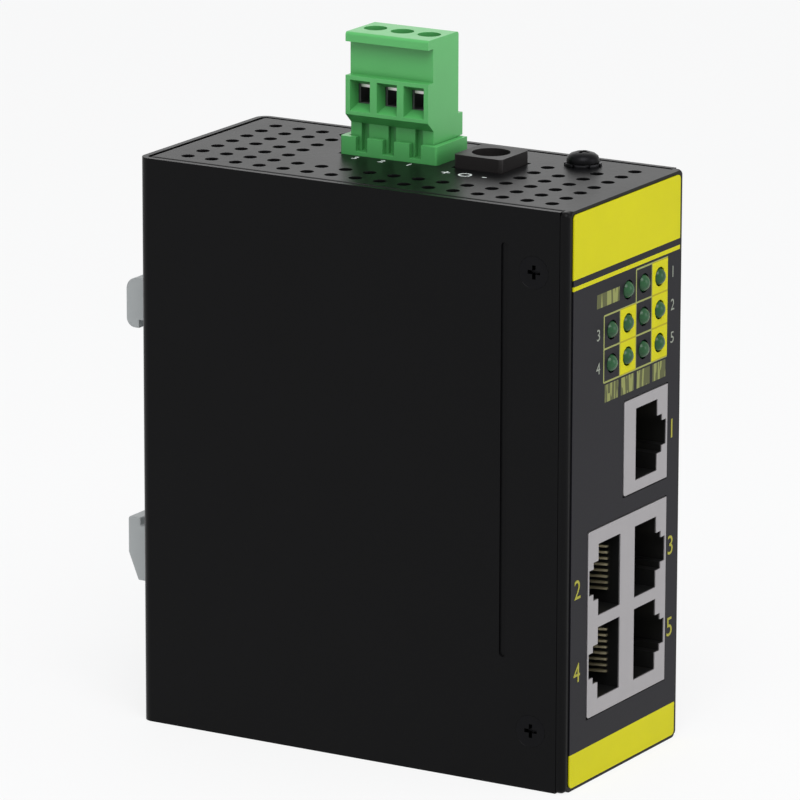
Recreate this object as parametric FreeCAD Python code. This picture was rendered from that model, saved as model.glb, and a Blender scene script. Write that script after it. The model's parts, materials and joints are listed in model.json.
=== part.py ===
import FreeCAD, Part
import math
import os

from FreeCAD import Vector

# Five-port Ethernet switch in a folded steel case that clips onto a 35 mm top-hat rail.
# Frame: +Z up, -Y is the port face, +Y the rail side; the origin is the centre of the case's base.
# All sizes are in millimetres.

# ---- case ---------------------------------------------------------------------------------
case_width = 38.6
case_depth = 80.6
case_height = 96.0
cover_sheet = 1.0            # wrap-around cover: left, back and right wall in one sheet
chassis_sheet = 0.8          # front, top and bottom in one sheet, with flanges inside the cover
fold_radius = 0.9            # outside radius of the chassis folds
cover_fold_radius = 2.0      # outside radius of the cover's two rear folds
seam = 0.1                   # open joint between cover edges and chassis
front_lip = 1.4              # depth of the front wall's rim that the cover butts against
front_flange = 12.0          # side flanges, measured from the front face
edge_flange = 12.5           # side flanges of the top and bottom walls
rear_lip_height = 9.0
rear_lip_relief = 3.0        # open corner between a rear lip and the side flange

groove_width = 1.2           # pressed line on each side of the cover
groove_depth = 0.35
groove_from_front = 11.5
groove_from_base = 21.5
groove_from_top = 6.0

# ---- vents --------------------------------------------------------------------------------
vent_diameter = 2.3
vent_pitch = 4.55
vent_columns = 7
vent_rows = 16
vent_sides = 12              # small rounds that repeat many times have flat sides
vent_shift_x = -0.7
vent_shift_y = -0.5
vent_side_columns = 2        # columns that run beside the connectors
vent_block_rows = 4          # full-width rows at the front and at the back
bottom_vent_rows = 3

# ---- screws -------------------------------------------------------------------------------
thread_radius = 1.5
screw_gap = 0.05             # between a shank and the hole it fills
csk_head_radius = 2.75
csk_head_height = 1.25
pan_head_radius = 2.75
pan_head_height = 1.8
drive_width = 0.75           # arms of the cross recess
drive_length = 2.8
drive_depth = 0.8
cover_screw_length = 3.5
cover_screw_from_front = 6.2
cover_screw_from_base = 9.8
cover_screw_from_top = 10.3
ground_from_side = 6.2
ground_from_front = 15.4
ground_shank = 4.0
ground_nut_height = 1.5
washer_radius = 3.1
washer_thickness = 0.5
washer_teeth = 8
washer_notch_width = 0.6
washer_notch_depth = 0.55
pan_head_crown = 0.8         # height and inset of the head's bevel
screw_sides = 16

# ---- circuit board ------------------------------------------------------------------------
board_thickness = 1.6
board_corner = 1.5
standoff_length = 1.9
standoff_radius = 2.6
board_front_gap = 3.8        # from the front face to the board's edge
board_rear_gap = 3.8         # from the back face to the board's edge
board_from_base = 5.5
board_from_top = 6.0
board_screw_rear = 9.3       # rear pair, from the back face
board_screw_front_top = 13.3              # from the front face
board_screw_front_low = 31.3
board_screw_from_edge = 9.8               # from the case's top or base

# ---- network sockets ----------------------------------------------------------------------
shield_sheet = 0.3
shield_proud = 0.3           # face of a shield in front of the bare front wall
shield_gap = 0.2             # clearance in the front wall's cut-out
port_pitch = 13.97
port_width = 12.0            # across the eight contacts
port_throat = 7.3            # from the contact side to the latch side
key_width = 6.4
key_step = 1.6
key_slot_width = 4.2
key_slot_step = 1.4
port_depth = 13.5
contact_count = 8
contact_pitch = 1.016
contact_width = 0.36
contact_thickness = 0.3
contact_rise = 2.2           # how far a contact leans into the socket
contact_from_mouth = 2.3
contact_foot = 1.2           # lies along the socket's wall before it leans
contact_tip = 1.0
contact_from_end = 2.5
shield_corner = 0.6
quad_height = 26.2           # off the board
quad_length = 25.4
quad_margin = 2.3            # shield beyond the socket openings
quad_lower_port = 19.6
single_height = 14.6
single_length = 21.5
single_margin = 1.6
single_port = 53.35
key_to_shield = 0.1          # between a keyway's end and the shield

# ---- indicator lamps ----------------------------------------------------------------------
lamp_radius = 1.5
lamp_pitch_x = 5.3
lamp_pitch_z = 5.5
lamp_columns = 4
lamp_rows = 3
lamp_first_off_board = 3.0
lamp_low_row = 68.7
lamp_proud = 1.1             # dome beyond the front wall
lamp_length = 6.1
lamp_hole_gap = 0.15
lamp_sides = 12
lamp_dome = ((1.5, 1.0), (0.45, 0.75), (0.0, 0.3))       # depth below the tip, share of the radius
holder_depth = 5.0
holder_margin = 0.8
lead_size = 0.45
lead_spacing = 2.54
lead_row_step = 0.75
pin_tail = 0.9               # leads beyond the back of the board

# ---- front label --------------------------------------------------------------------------
label_thickness = 0.2
label_side_margin = 1.6
label_end_margin = 0.6
label_corner = 0.8

# ---- supply terminal (header on the board, plug that pulls off upwards) -------------------
pole_count = 3
pole_pitch = 5.08
pole_middle_from_front = 44.7
pin_off_board = 8.6
pin_size = 1.0
plug_rise = 20.5             # this and the heights below are above the case's top
plug_end_wall = 0.2          # beyond the outer poles' half pitch
plug_front = 5.5             # from the pin axis to the wire side
plug_back = 4.3
plug_recess = 1.6
plug_lip = 1.6
wire_block_low_rise = 6.8
wire_block_rise = 13.3
skirt_front = 3.7
skirt_back = 3.7
skirt_length = 10.5
boss_reach = 5.7
boss_height = 3.8
header_gap = 0.25
header_wall = 1.05
header_rise = 3.0
header_cup_depth = 11.5
header_floor = 2.0
header_notch_width = 2.2
header_notch_depth = 2.4
header_foot_height = 4.0
header_corner = 0.4
pin_height = 9.0
plug_rib_width = 1.4
plug_rib_depth = 0.9
plug_corner = 0.5
clamp_screw_radius = 1.25
clamp_head_radius = 1.75
clamp_head_height = 1.7
clamp_head_sink = 2.1        # below the plug's top
clamp_slot_width = 0.6
clamp_slot_depth = 0.8
clamp_axis_shift = -0.5      # from the pin axis
cage_length = 5.2
cage_width = 3.9
cage_wall = 0.7
cage_top_plate = 1.3
cage_floor = 1.0
cage_rise = 7.5              # underside at rest
cage_height = 5.8
cage_travel = 2.0
cage_gap = 0.2
busbar_thickness = 0.75
busbar_width = 2.3
busbar_gap = 0.15
leaf_thickness = 0.5
leaf_gap = 0.1
leaf_width = 1.8
leaf_length = 8.0
leaf_below_rim = 1.0
wire_mouth_width = 3.8
wire_mouth_height = 5.2
wire_throat_width = 3.0
wire_throat_height = 3.2
wire_drop = 2.0              # centre of a wire's way in, below the cage's plate
running_gap = 0.05

# ---- round power socket -------------------------------------------------------------------
power_off_board = 8.9
power_from_front = 28.0
power_collar = 9.0
power_proud = 2.2
power_collar_depth = 4.0
power_body_narrow = 0.5      # body inside the collar's outline
power_body_length = 14.2
power_body_floor = 1.5
power_bore_radius = 3.15
power_bore_depth = 9.5
power_pin_radius = 1.0
power_pin_height = 7.6
power_gap = 0.3
power_corner = 0.6
power_nose = 0.6             # bevel of the centre pin
power_leg_rise = 1.2         # lower solder tail, above the body's end
power_leg_spread = 3.4       # upper tails, either side of the axis
power_leg_from_top = 3.2     # below the board's top edge

# ---- rail clip ----------------------------------------------------------------------------
clip_width = 22.0
clip_plate = 4.0
rail_height = 35.0
rail_centre = 48.5
rail_slot = 1.3              # takes the rail's 1 mm flange
hook_thickness = 2.4
hook_overlap = 1.2
hook_radius = 2.0
hook_top = 73.3
latch_low = 21.3
latch_taper_from = 26.0
latch_toe = 1.9              # how far the taper draws in the latch's lower end
latch_gap = 0.2
latch_travel = 3.5
latch_corner = 0.5
latch_slot_width = 7.7       # for a screwdriver's blade
latch_slot_height = 2.4
latch_slot_depth = 1.6
rail_clearance = 0.2         # between the rail's edge and the hook's root
tongue_width = 11.6
tongue_thickness = 1.5
tongue_top = 53.0
tongue_gap = 0.2
spring_radius = 1.4
spring_wire = 0.4
spring_turns = 6
spring_steps = 10            # straight stretches in a turn
spring_sides = 6
spring_run_out = 1.0         # free length of the window above the spring
spring_low = 37.0
spring_length = 12.0
spring_pocket_gap = 0.3
clip_screw_radius = 1.25
clip_screw_head = 2.2
clip_screw_x = 8.4
clip_screw_low = 36.0
clip_screw_high = 60.0
clip_nut_width = 5.0
clip_nut_height = 2.0
clip_screw_past_nut = 0.8

# ---- parts on the board -------------------------------------------------------------------
magnetics_height = 5.8
magnetics_width = 7.0
magnetics_from_front = 32.8
magnetics_low = 14.45        # lower end of the lowest one, above the base
magnetics_spacing = 0.9      # between two of them
magnetics_headroom = 2.45    # below the power socket
chip_size = (1.5, 14.0, 14.0)
chip_lead_count = 6
chip_lead_width = 0.6
chip_lead_span = 11.2
chip_lead_reach = 1.2
chip_standoff = 0.15
capacitor_radius = 4.0
capacitor_height = 11.5
capacitor_groove = 0.35
capacitor_groove_rise = 2.0
capacitor_bevel = 0.5
inductor_size = (4.5, 10.0, 10.0)
inductor_corner = 1.5
inductor_dish_radius = 3.0
inductor_dish_depth = 0.6
package_corner = 0.3

# places on the board: from the front face, or from the back face, and down from the case's top
chip_place = (48.8, 57.0)
crystal_place = (48.8, 71.5)
regulator_place = (48.8, 39.0)
inductor_place = (48.8, 26.0)
capacitor_places_back = ((13.3, 26.0), (13.3, 38.0))
fuse_place_back = (20.3, 15.0)
diode_place_back = (13.8, 14.0)
crystal_size = (3.6, 4.6, 11.0)
regulator_size = (2.3, 6.5, 6.1)
fuse_size = (2.0, 4.6, 7.3)
diode_size = (2.4, 3.6, 4.6)

overrun = 1.0                # how far a cut runs past the face that it opens

# ---- values worked out from the ones above ------------------------------------------------
half_width = case_width / 2
front_y = -case_depth / 2
back_y = case_depth / 2
inner_half = half_width - cover_sheet            # the cover's inner face, and the flanges' outer
board_back = inner_half - chassis_sheet - standoff_length
board_face = board_back - board_thickness        # component side
board_rear_y = back_y - board_rear_gap
board_front_y = front_y + board_front_gap
board_low = board_from_base
board_top = case_height - board_from_top
tail_x = board_back + pin_tail
shield_front_y = front_y - shield_proud

lamp_x = [board_face - lamp_first_off_board - lamp_pitch_x * i for i in range(lamp_columns)]
lamp_z = [lamp_low_row + lamp_pitch_z * i for i in range(lamp_rows)]
lamp_back_y = front_y - lamp_proud + lamp_length
lamp_tip_y = front_y - lamp_proud
ground_x = half_width - ground_from_side

pin_x = board_face - pin_off_board
plug_top = case_height + plug_rise
header_rim = case_height + header_rise
header_floor_top = header_rim - header_cup_depth
header_low = header_floor_top - header_floor
skirt_low = header_rim - skirt_length
boss_low = header_rim + running_gap
boss_high = boss_low + boss_height
wire_block_low = case_height + wire_block_low_rise
wire_block_high = case_height + wire_block_rise
skirt_shoulder = wire_block_low - plug_recess
pole_y = [front_y + pole_middle_from_front + pole_pitch * (i - (pole_count - 1) / 2) for i in range(pole_count)]
plug_y0 = pole_y[0] - pole_pitch / 2 - plug_end_wall
plug_y1 = pole_y[-1] + pole_pitch / 2 + plug_end_wall
plug_x0 = pin_x - plug_front
plug_x1 = pin_x + plug_back
skirt_x0 = pin_x - skirt_front
skirt_x1 = pin_x + skirt_back
header_in = (skirt_x0 - header_gap, skirt_x1 + header_gap, plug_y0 - header_gap, plug_y1 + header_gap)
header_out = (header_in[0] - header_wall, header_in[1] + header_wall,
              header_in[2] - header_wall, header_in[3] + header_wall)
clamp_x = pin_x + clamp_axis_shift
cage_low = case_height + cage_rise
cage_top = cage_low + cage_height
chamber = (clamp_x - cage_length / 2 - cage_gap, clamp_x + cage_length / 2 + cage_gap)
chamber_top = cage_top + cage_travel + cage_gap
busbar_top = cage_top - cage_top_plate - busbar_gap
clamp_head_top = plug_top - clamp_head_sink
clamp_head_low = clamp_head_top - clamp_head_height
leaf_top = header_rim - leaf_below_rim
leaf_low = leaf_top - leaf_length
strip_x0 = chamber[1]

power_x = board_face - power_off_board
power_y = front_y + power_from_front
power_top = case_height + power_proud
power_low = power_top - power_body_length
magnetics_high = power_low - magnetics_headroom

clip_face = back_y + clip_plate                  # the plane that the rail lies against
hook_inner = clip_face + rail_slot
clip_back = hook_inner + hook_thickness
rail_top = rail_centre + rail_height / 2
rail_low = rail_centre - rail_height / 2
hook_low = rail_top - hook_overlap
latch_top = rail_low + hook_overlap
latch_shoulder = rail_low - latch_gap
spring_y = back_y + spring_radius + spring_pocket_gap


# ---- small helpers ------------------------------------------------------------------------
def box(x0, x1, y0, y1, z0, z1):
    """A block between two corners."""
    return Part.makeBox(x1 - x0, y1 - y0, z1 - z0, Vector(x0, y0, z0))


def rod(x, y, z, axis, radius, length):
    """A cylinder that starts at a point and runs along an axis."""
    return Part.makeCylinder(radius, length, Vector(x, y, z), Vector(*axis))


def ring(x, y, z, axis, radius, sides):
    """Corners of a regular outline, square to one of the frame's axes."""
    along = Vector(*axis)
    across = Vector(along.z, along.x, along.y)
    third = along.cross(across)
    points = []
    for i in range(sides + 1):
        angle = 2 * math.pi * (i + 0.5) / sides
        offset = across * (radius * math.cos(angle)) + third * (radius * math.sin(angle))
        points.append(Vector(x, y, z) + offset)
    return Part.makePolygon(points)


def faceted(x, y, z, axis, radius, length, sides=screw_sides):
    """A rod with flat sides, for a round that repeats many times."""
    return Part.Face(ring(x, y, z, axis, radius, sides)).extrude(Vector(*axis) * length)


def faceted_taper(x, y, z, axis, r0, r1, length, sides=screw_sides):
    """A cone with flat sides, from a point along an axis."""
    end = Vector(x, y, z) + Vector(*axis) * length
    rings = [ring(x, y, z, axis, r0, sides), ring(end.x, end.y, end.z, axis, r1, sides)]
    return Part.makeLoft(rings, True, True)


def prism(points, direction):
    """A closed outline pushed along a direction."""
    wire = Part.makePolygon([Vector(*p) for p in points] + [Vector(*points[0])])
    return Part.Face(wire).extrude(Vector(*direction))


def fuse(shapes):
    joined = shapes[0]
    if len(shapes) > 1:
        joined = shapes[0].multiFuse(shapes[1:])
    return joined.removeSplitter()


def cut(shape, tools):
    return shape.cut(Part.makeCompound(tools)) if tools else shape


def fillet_along(shape, radius, direction, keep):
    """Round the straight edges that run along a direction and whose middle passes a test."""
    chosen = []
    for edge in shape.Edges:
        if edge.Curve.TypeId != "Part::GeomLine":
            continue
        run = edge.Vertexes[-1].Point.sub(edge.Vertexes[0].Point)
        middle = edge.CenterOfMass
        if abs(abs(run.normalize().dot(Vector(*direction))) - 1) < 1e-6 and keep(middle):
            chosen.append(edge)
    return shape.makeFillet(radius, chosen)


def bevel_along(shape, size, direction):
    """Cut flat the straight edges that run along a direction."""
    along = Vector(*direction)
    edges = [e for e in shape.Edges if abs((e.Vertexes[-1].Point - e.Vertexes[0].Point).dot(along)) > 1e-6]
    return shape.makeChamfer(size, edges)


def near(value, target):
    return abs(value - target) < 1e-4


def cross_recess(x, y, z, axis, depth=drive_depth, length=drive_length):
    """Cross-shaped drive recess cut inwards from a point; axis is X, Y or Z, signed inwards."""
    arm = length / 2
    half = drive_width / 2
    reach = [c * depth for c in axis]
    arms = []
    for long_way in (0, 1):
        spans = [arm, half] if long_way == 0 else [half, arm]
        lows, highs = [], []
        spread = iter(spans)
        for centre, move in zip((x, y, z), reach):
            if move:
                lows.append(min(centre, centre + move))
                highs.append(max(centre, centre + move))
            else:
                span = next(spread)
                lows.append(centre - span)
                highs.append(centre + span)
        arms.append(box(lows[0], highs[0], lows[1], highs[1], lows[2], highs[2]))
    return fuse(arms)


def flat_head_screw(x, y, z, inwards, head, length, shank, height):
    """Countersunk screw whose head lies flush at a point."""
    body = fuse([faceted_taper(x, y, z, inwards, head, shank, height),
                 faceted(x, y, z, inwards, shank, length)])
    size = drive_length * head / csk_head_radius
    return body.cut(cross_recess(x, y, z, inwards, drive_depth, size))


def pan_head_screw(x, y, z, inwards, head, height, length, shank):
    """Pan-head screw that bears on a surface at a point."""
    outwards = tuple(-c for c in inwards)
    wall = height - pan_head_crown
    crown = [p + c * wall for p, c in zip((x, y, z), outwards)]
    top = [p + c * height for p, c in zip((x, y, z), outwards)]
    body = fuse([faceted(x, y, z, outwards, head, wall),
                 faceted_taper(*crown, outwards, head, head - pan_head_crown, pan_head_crown),
                 faceted(x, y, z, inwards, shank, length)])
    return body.cut(cross_recess(top[0], top[1], top[2], inwards))


# ---- case ---------------------------------------------------------------------------------
def side_screw_places():
    y = front_y + cover_screw_from_front
    heights = (cover_screw_from_base, case_height - cover_screw_from_top)
    return [(side, y, z) for side in (-1, 1) for z in heights]


def board_screw_places():
    high = case_height - board_screw_from_edge
    rear = back_y - board_screw_rear
    return [(front_y + board_screw_front_top, high), (rear, high),
            (front_y + board_screw_front_low, board_screw_from_edge), (rear, board_screw_from_edge)]


def clip_screw_places():
    return [(x, z) for x in (-clip_screw_x, clip_screw_x) for z in (clip_screw_low, clip_screw_high)]


def ground_place():
    return ground_x, front_y + ground_from_front


def vent_places():
    """Top vents: full rows at both ends, two columns beside the connectors."""
    ground_y = ground_place()[1]
    places = []
    for row in range(vent_rows):
        y = vent_shift_y + vent_pitch * (row - (vent_rows - 1) / 2)
        for column in range(vent_columns):
            x = vent_shift_x + vent_pitch * (column - (vent_columns - 1) / 2)
            in_block = row < vent_block_rows or row >= vent_rows - vent_block_rows
            clear_of_ground = math.hypot(x - ground_x, y - ground_y) > washer_radius + vent_diameter
            if (in_block and clear_of_ground) or column < vent_side_columns:
                places.append((x, y))
    return places


def bottom_vent_places():
    return [(vent_pitch * (c - (vent_columns - 1) / 2), vent_pitch * (r - (bottom_vent_rows - 1) / 2))
            for r in range(bottom_vent_rows) for c in range(vent_columns)]


def socket_cutouts(y0, y1, gap):
    """Blocks that clear the two socket shields, for the front wall and for the label."""
    low_z, high_z, x0 = quad_outline()
    quad = box(x0 - gap, board_face + gap, y0, y1, low_z - gap, high_z + gap)
    low_z, high_z, x0 = single_outline()
    single = box(x0 - gap, board_face + gap, y0, y1, low_z - gap, high_z + gap)
    return [quad, single]


def lamp_places():
    """Every lamp but the one left out at the top row's far end."""
    return [(column, row) for row in range(lamp_rows) for column in range(lamp_columns)
            if not (row == lamp_rows - 1 and column == lamp_columns - 1)]


def lamp_holes(y0, y1, gap):
    return [faceted(lamp_x[c], y0, lamp_z[r], (0, 1, 0), lamp_radius + gap, y1 - y0, lamp_sides)
            for c, r in lamp_places()]


def make_chassis():
    """Front, top and bottom wall with side flanges and rear lips, folded from one sheet."""
    rear = back_y - cover_sheet - seam
    t = chassis_sheet
    block = box(-inner_half, inner_half, front_y, rear, 0, case_height)
    block = fillet_along(block, cover_fold_radius - cover_sheet + seam, (0, 0, 1), lambda p: near(p.y, rear))
    block = fillet_along(block, fold_radius, (0, 1, 0), lambda p: True)
    hollow = box(-inner_half + t, inner_half - t, front_y + t, rear - t, t, case_height - t)
    shell = block.cut(hollow)
    rim = box(-half_width, half_width, front_y, front_y + front_lip, 0, case_height)
    rim = fillet_along(rim, fold_radius, (1, 0, 0), lambda p: near(p.y, front_y))
    rim = fillet_along(rim, fold_radius * 0.99, (0, 0, 1), lambda p: near(p.y, front_y))
    rim = rim.cut(box(-inner_half + t, inner_half - t, front_y + t, back_y, t, case_height - t))
    shell = fuse([shell, rim])

    side_y = front_y + front_flange
    window_z = (edge_flange, case_height - edge_flange)
    tools = [box(-case_width, case_width, side_y, back_y, *window_z)]
    lip_half = inner_half - t - rear_lip_relief
    rear_low = rear - t - seam
    tools.append(box(-lip_half, lip_half, rear_low, back_y, t + rear_lip_height,
                     case_height - t - rear_lip_height))
    for side in (-1, 1):
        x0, x1 = sorted((side * lip_half, side * inner_half * 1.1))
        tools.append(box(x0, x1, rear_low, back_y, t, case_height - t))
    for x, y in vent_places():
        tools.append(faceted(x, y, case_height - 2 * t, (0, 0, 1), vent_diameter / 2, 3 * t, vent_sides))
    for x, y in bottom_vent_places():
        tools.append(faceted(x, y, -t, (0, 0, 1), vent_diameter / 2, 3 * t, vent_sides))
    top_low, top_high = case_height - 2 * t, case_height + t
    hx0, hx1, hy0, hy1 = header_out
    tools.append(box(hx0 - power_gap, hx1 + power_gap, hy0 - power_gap, hy1 + power_gap, top_low, top_high))
    half = power_collar / 2 + power_gap
    tools.append(box(power_x - half, power_x + half, power_y - half, power_y + half, top_low, top_high))
    tools += socket_cutouts(front_y - t, front_y + 2 * t, shield_gap)
    tools += lamp_holes(front_y - t, front_y + 2 * t, lamp_hole_gap)
    gx, gy = ground_place()
    tools.append(faceted(gx, gy, top_low, (0, 0, 1), thread_radius + screw_gap, 3 * t))
    for side, y, z in side_screw_places():
        tools.append(faceted(side * (inner_half + t), y, z, (-side, 0, 0), thread_radius + screw_gap, 3 * t))
        tools.append(csk_sink(side, y, z))
    for y, z in board_screw_places():
        tools.append(faceted(inner_half - 2 * t, y, z, (1, 0, 0), thread_radius + screw_gap, 3 * t))
    return cut(shell, tools)


def csk_sink(side, y, z):
    """Countersink that a side screw's head seats in, through the cover and just into the flange."""
    return faceted_taper(side * half_width, y, z, (-side, 0, 0), csk_head_radius, thread_radius,
                         csk_head_height)


def make_cover():
    """Left, back and right wall in one wrapped sheet."""
    y0 = front_y + front_lip + seam
    outer = box(-half_width, half_width, y0, back_y, 0, case_height)
    outer = fillet_along(outer, cover_fold_radius, (0, 0, 1), lambda p: near(p.y, back_y))
    inner = box(-inner_half, inner_half, y0 - overrun, back_y - cover_sheet, -overrun, case_height + overrun)
    inner = fillet_along(inner, cover_fold_radius - cover_sheet, (0, 0, 1), lambda p: p.y > 0)
    tools = [inner]
    groove_y = front_y + groove_from_front
    groove_low = groove_from_base + groove_width / 2
    groove_high = case_height - groove_from_top - groove_width / 2
    for side in (-1, 1):
        x0, x1 = sorted((side * (half_width - groove_depth), side * (half_width + groove_depth)))
        slot = box(x0, x1, groove_y - groove_width / 2, groove_y + groove_width / 2,
                   groove_low, groove_high)
        ends = [rod(x0, groove_y, z, (1, 0, 0), groove_width / 2, x1 - x0)
                for z in (groove_low, groove_high)]
        tools.append(fuse([slot] + ends))
    for side, y, z in side_screw_places():
        tools.append(csk_sink(side, y, z))
    for x, z in clip_screw_places():
        tools.append(faceted(x, back_y - 2 * cover_sheet, z, (0, 1, 0), clip_screw_radius + screw_gap,
                             3 * cover_sheet))
    return cut(outer, tools)


def make_cover_screws():
    return [flat_head_screw(side * half_width, y, z, (-side, 0, 0), csk_head_radius,
                            cover_screw_length, thread_radius, csk_head_height)
            for side, y, z in side_screw_places()]


def make_front_label():
    """Printed film on the front wall, cut out round the sockets and lamps."""
    half = half_width - label_side_margin
    y0 = front_y - label_thickness
    film = box(-half, half, y0, front_y, label_end_margin, case_height - label_end_margin)
    film = fillet_along(film, label_corner, (0, 1, 0), lambda p: True)
    tools = socket_cutouts(y0 - overrun, front_y + overrun, shield_gap)
    tools += lamp_holes(y0 - overrun, front_y + overrun, lamp_hole_gap)
    return cut(film, tools)


def make_ground_screw():
    gx, gy = ground_place()
    seat = case_height + washer_thickness
    return pan_head_screw(gx, gy, seat, (0, 0, -1), pan_head_radius, pan_head_height,
                          washer_thickness + ground_shank, thread_radius)


def make_ground_washer():
    """Toothed lock washer under the ground screw's head."""
    gx, gy = ground_place()
    disc = rod(gx, gy, case_height, (0, 0, 1), washer_radius, washer_thickness)
    tools = [faceted(gx, gy, case_height - overrun, (0, 0, 1), thread_radius + screw_gap, 3 * overrun)]
    half = washer_notch_width / 2
    for i in range(washer_teeth):
        notch = box(washer_radius - washer_notch_depth, washer_radius + overrun, -half, half,
                    -overrun, 2 * overrun)
        notch.rotate(Vector(0, 0, 0), Vector(0, 0, 1), 360 * i / washer_teeth)
        notch.translate(Vector(gx, gy, case_height))
        tools.append(notch)
    return cut(disc, tools)


def make_ground_nut():
    """Clinch nut pressed into the top wall from inside."""
    gx, gy = ground_place()
    z0 = case_height - chassis_sheet - ground_nut_height
    nut = faceted(gx, gy, z0, (0, 0, 1), pan_head_radius, ground_nut_height)
    return nut.cut(faceted(gx, gy, z0 - overrun, (0, 0, 1), thread_radius + screw_gap,
                           ground_nut_height + 2 * overrun))


# ---- board and its fixings ----------------------------------------------------------------
def lamp_leads():
    """Two bent leads per lamp, each down to the board in a row of its own."""
    leads = []
    half = lead_size / 2
    for column, row in lamp_places():
        y = lamp_back_y + holder_back_wall() + lead_row_step * (column + 1)
        x = lamp_x[column]
        for side in (-1, 1):
            z = lamp_z[row] + side * lead_spacing / 2
            outline = [(x - half, lamp_back_y, z - half), (x + half, lamp_back_y, z - half),
                       (x + half, y - half, z - half), (tail_x, y - half, z - half),
                       (tail_x, y + half, z - half), (x - half, y + half, z - half)]
            leads.append(prism(outline, (0, 0, lead_size)))
    return leads


def holder_back_wall():
    return front_y + chassis_sheet + seam + holder_depth - lamp_back_y


def header_pins():
    """Square pins that stand in the header and turn through the board."""
    half = pin_size / 2
    leg_z = header_low + header_floor / 2
    pins = []
    for y in pole_y:
        outline = [(pin_x - half, y - half, leg_z - half), (tail_x, y - half, leg_z - half),
                   (tail_x, y - half, leg_z + half), (pin_x + half, y - half, leg_z + half),
                   (pin_x + half, y - half, header_floor_top + pin_height),
                   (pin_x - half, y - half, header_floor_top + pin_height)]
        pins.append(prism(outline, (0, pin_size, 0)))
    return pins


def power_leg_places():
    upper = board_top - power_leg_from_top
    return [(power_y, power_low + power_leg_rise), (power_y - power_leg_spread, upper),
            (power_y + power_leg_spread, upper)]


def power_legs():
    """Solder tails of the power socket."""
    half = pin_size / 2
    return [box(board_face - pin_size, tail_x, y - half, y + half, z - half, z + half)
            for y, z in power_leg_places()]


def make_main_board():
    board = box(board_face, board_back, board_front_y, board_rear_y, board_low, board_top)
    board = fillet_along(board, board_corner, (1, 0, 0), lambda p: True)
    tools = [faceted(board_face - overrun, y, z, (1, 0, 0), thread_radius + 3 * screw_gap,
                     board_thickness + 2 * overrun, vent_sides) for y, z in board_screw_places()]
    return cut(board, tools + lamp_leads() + header_pins() + power_legs())


def make_board_standoffs():
    """Spacers clinched into the right-hand flanges."""
    spacers = []
    for y, z in board_screw_places():
        sleeve = faceted(board_back, y, z, (1, 0, 0), standoff_radius, standoff_length)
        bore = faceted(board_back - overrun, y, z, (1, 0, 0), thread_radius + screw_gap,
                       standoff_length + 2 * overrun)
        spacers.append(sleeve.cut(bore))
    return spacers


def make_board_screws():
    length = board_thickness + standoff_length + chassis_sheet - seam
    return [pan_head_screw(board_face, y, z, (1, 0, 0), pan_head_radius, pan_head_height, length, thread_radius)
            for y, z in board_screw_places()]


# ---- network sockets ----------------------------------------------------------------------
def quad_outline():
    """Lowest and highest Z of the four-way shield, and its far face off the board."""
    low_z = quad_lower_port - port_width / 2 - quad_margin - shield_sheet
    high_z = quad_lower_port + port_pitch + port_width / 2 + quad_margin + shield_sheet
    return low_z, high_z, board_face - quad_height


def single_outline():
    low_z = single_port - port_width / 2 - single_margin - shield_sheet
    return low_z, 2 * single_port - low_z, board_face - single_height


def right_latch_x():
    """Latch side of the sockets whose latch faces the board."""
    return board_face - shield_sheet - key_to_shield - key_slot_step - key_step


def left_latch_x():
    """Latch side of the far sockets, whose latch faces away from the board."""
    return board_face - quad_height + shield_sheet + key_to_shield + key_slot_step + key_step


def sockets():
    """Contact side x, latch direction, centre z and shield of each socket, in port order."""
    right = right_latch_x() - port_throat
    left = left_latch_x() + port_throat
    upper = quad_lower_port + port_pitch
    return [(right, 1, single_port, "single"), (left, -1, upper, "quad"), (right, 1, upper, "quad"),
            (left, -1, quad_lower_port, "quad"), (right, 1, quad_lower_port, "quad")]


def socket_hollow(contact_x, way, z, y0, y1):
    """Space of one socket: the throat and the two steps of the latch keyway."""
    spans = [(contact_x, contact_x + way * port_throat, port_width),
             (contact_x + way * port_throat, contact_x + way * (port_throat + key_step), key_width),
             (contact_x + way * (port_throat + key_step),
              contact_x + way * (port_throat + key_step + key_slot_step), key_slot_width)]
    blocks = []
    for x0, x1, width in spans:
        lo, hi = sorted((x0, x1))
        blocks.append(box(lo, hi, y0, y1, z - width / 2, z + width / 2))
    return fuse(blocks)


def hollows_of(which, y0, y1):
    return [socket_hollow(x, way, z, y0, y1) for x, way, z, kind in sockets() if kind == which]


def make_shield(which, outline, length):
    """Tinned sheet can round a socket block, open towards the board."""
    low_z, high_z, x0 = outline
    t = shield_sheet
    can = box(x0, board_face, shield_front_y, shield_front_y + length, low_z, high_z)
    can = fillet_along(can, shield_corner, (0, 1, 0), lambda p: near(p.x, x0))
    inside = box(x0 + t, board_face + overrun, shield_front_y + t, shield_front_y + length - t,
                 low_z + t, high_z - t)
    return cut(can, [inside] + hollows_of(which, shield_front_y - overrun, shield_front_y + overrun))


def make_socket_body(which, outline, length):
    """Moulded block inside a shield, with the sockets' hollows."""
    low_z, high_z, x0 = outline
    t = shield_sheet
    block = box(x0 + t, board_face, shield_front_y + t, shield_front_y + length - t, low_z + t, high_z - t)
    return cut(block, hollows_of(which, shield_front_y - overrun, shield_front_y + port_depth))


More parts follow.
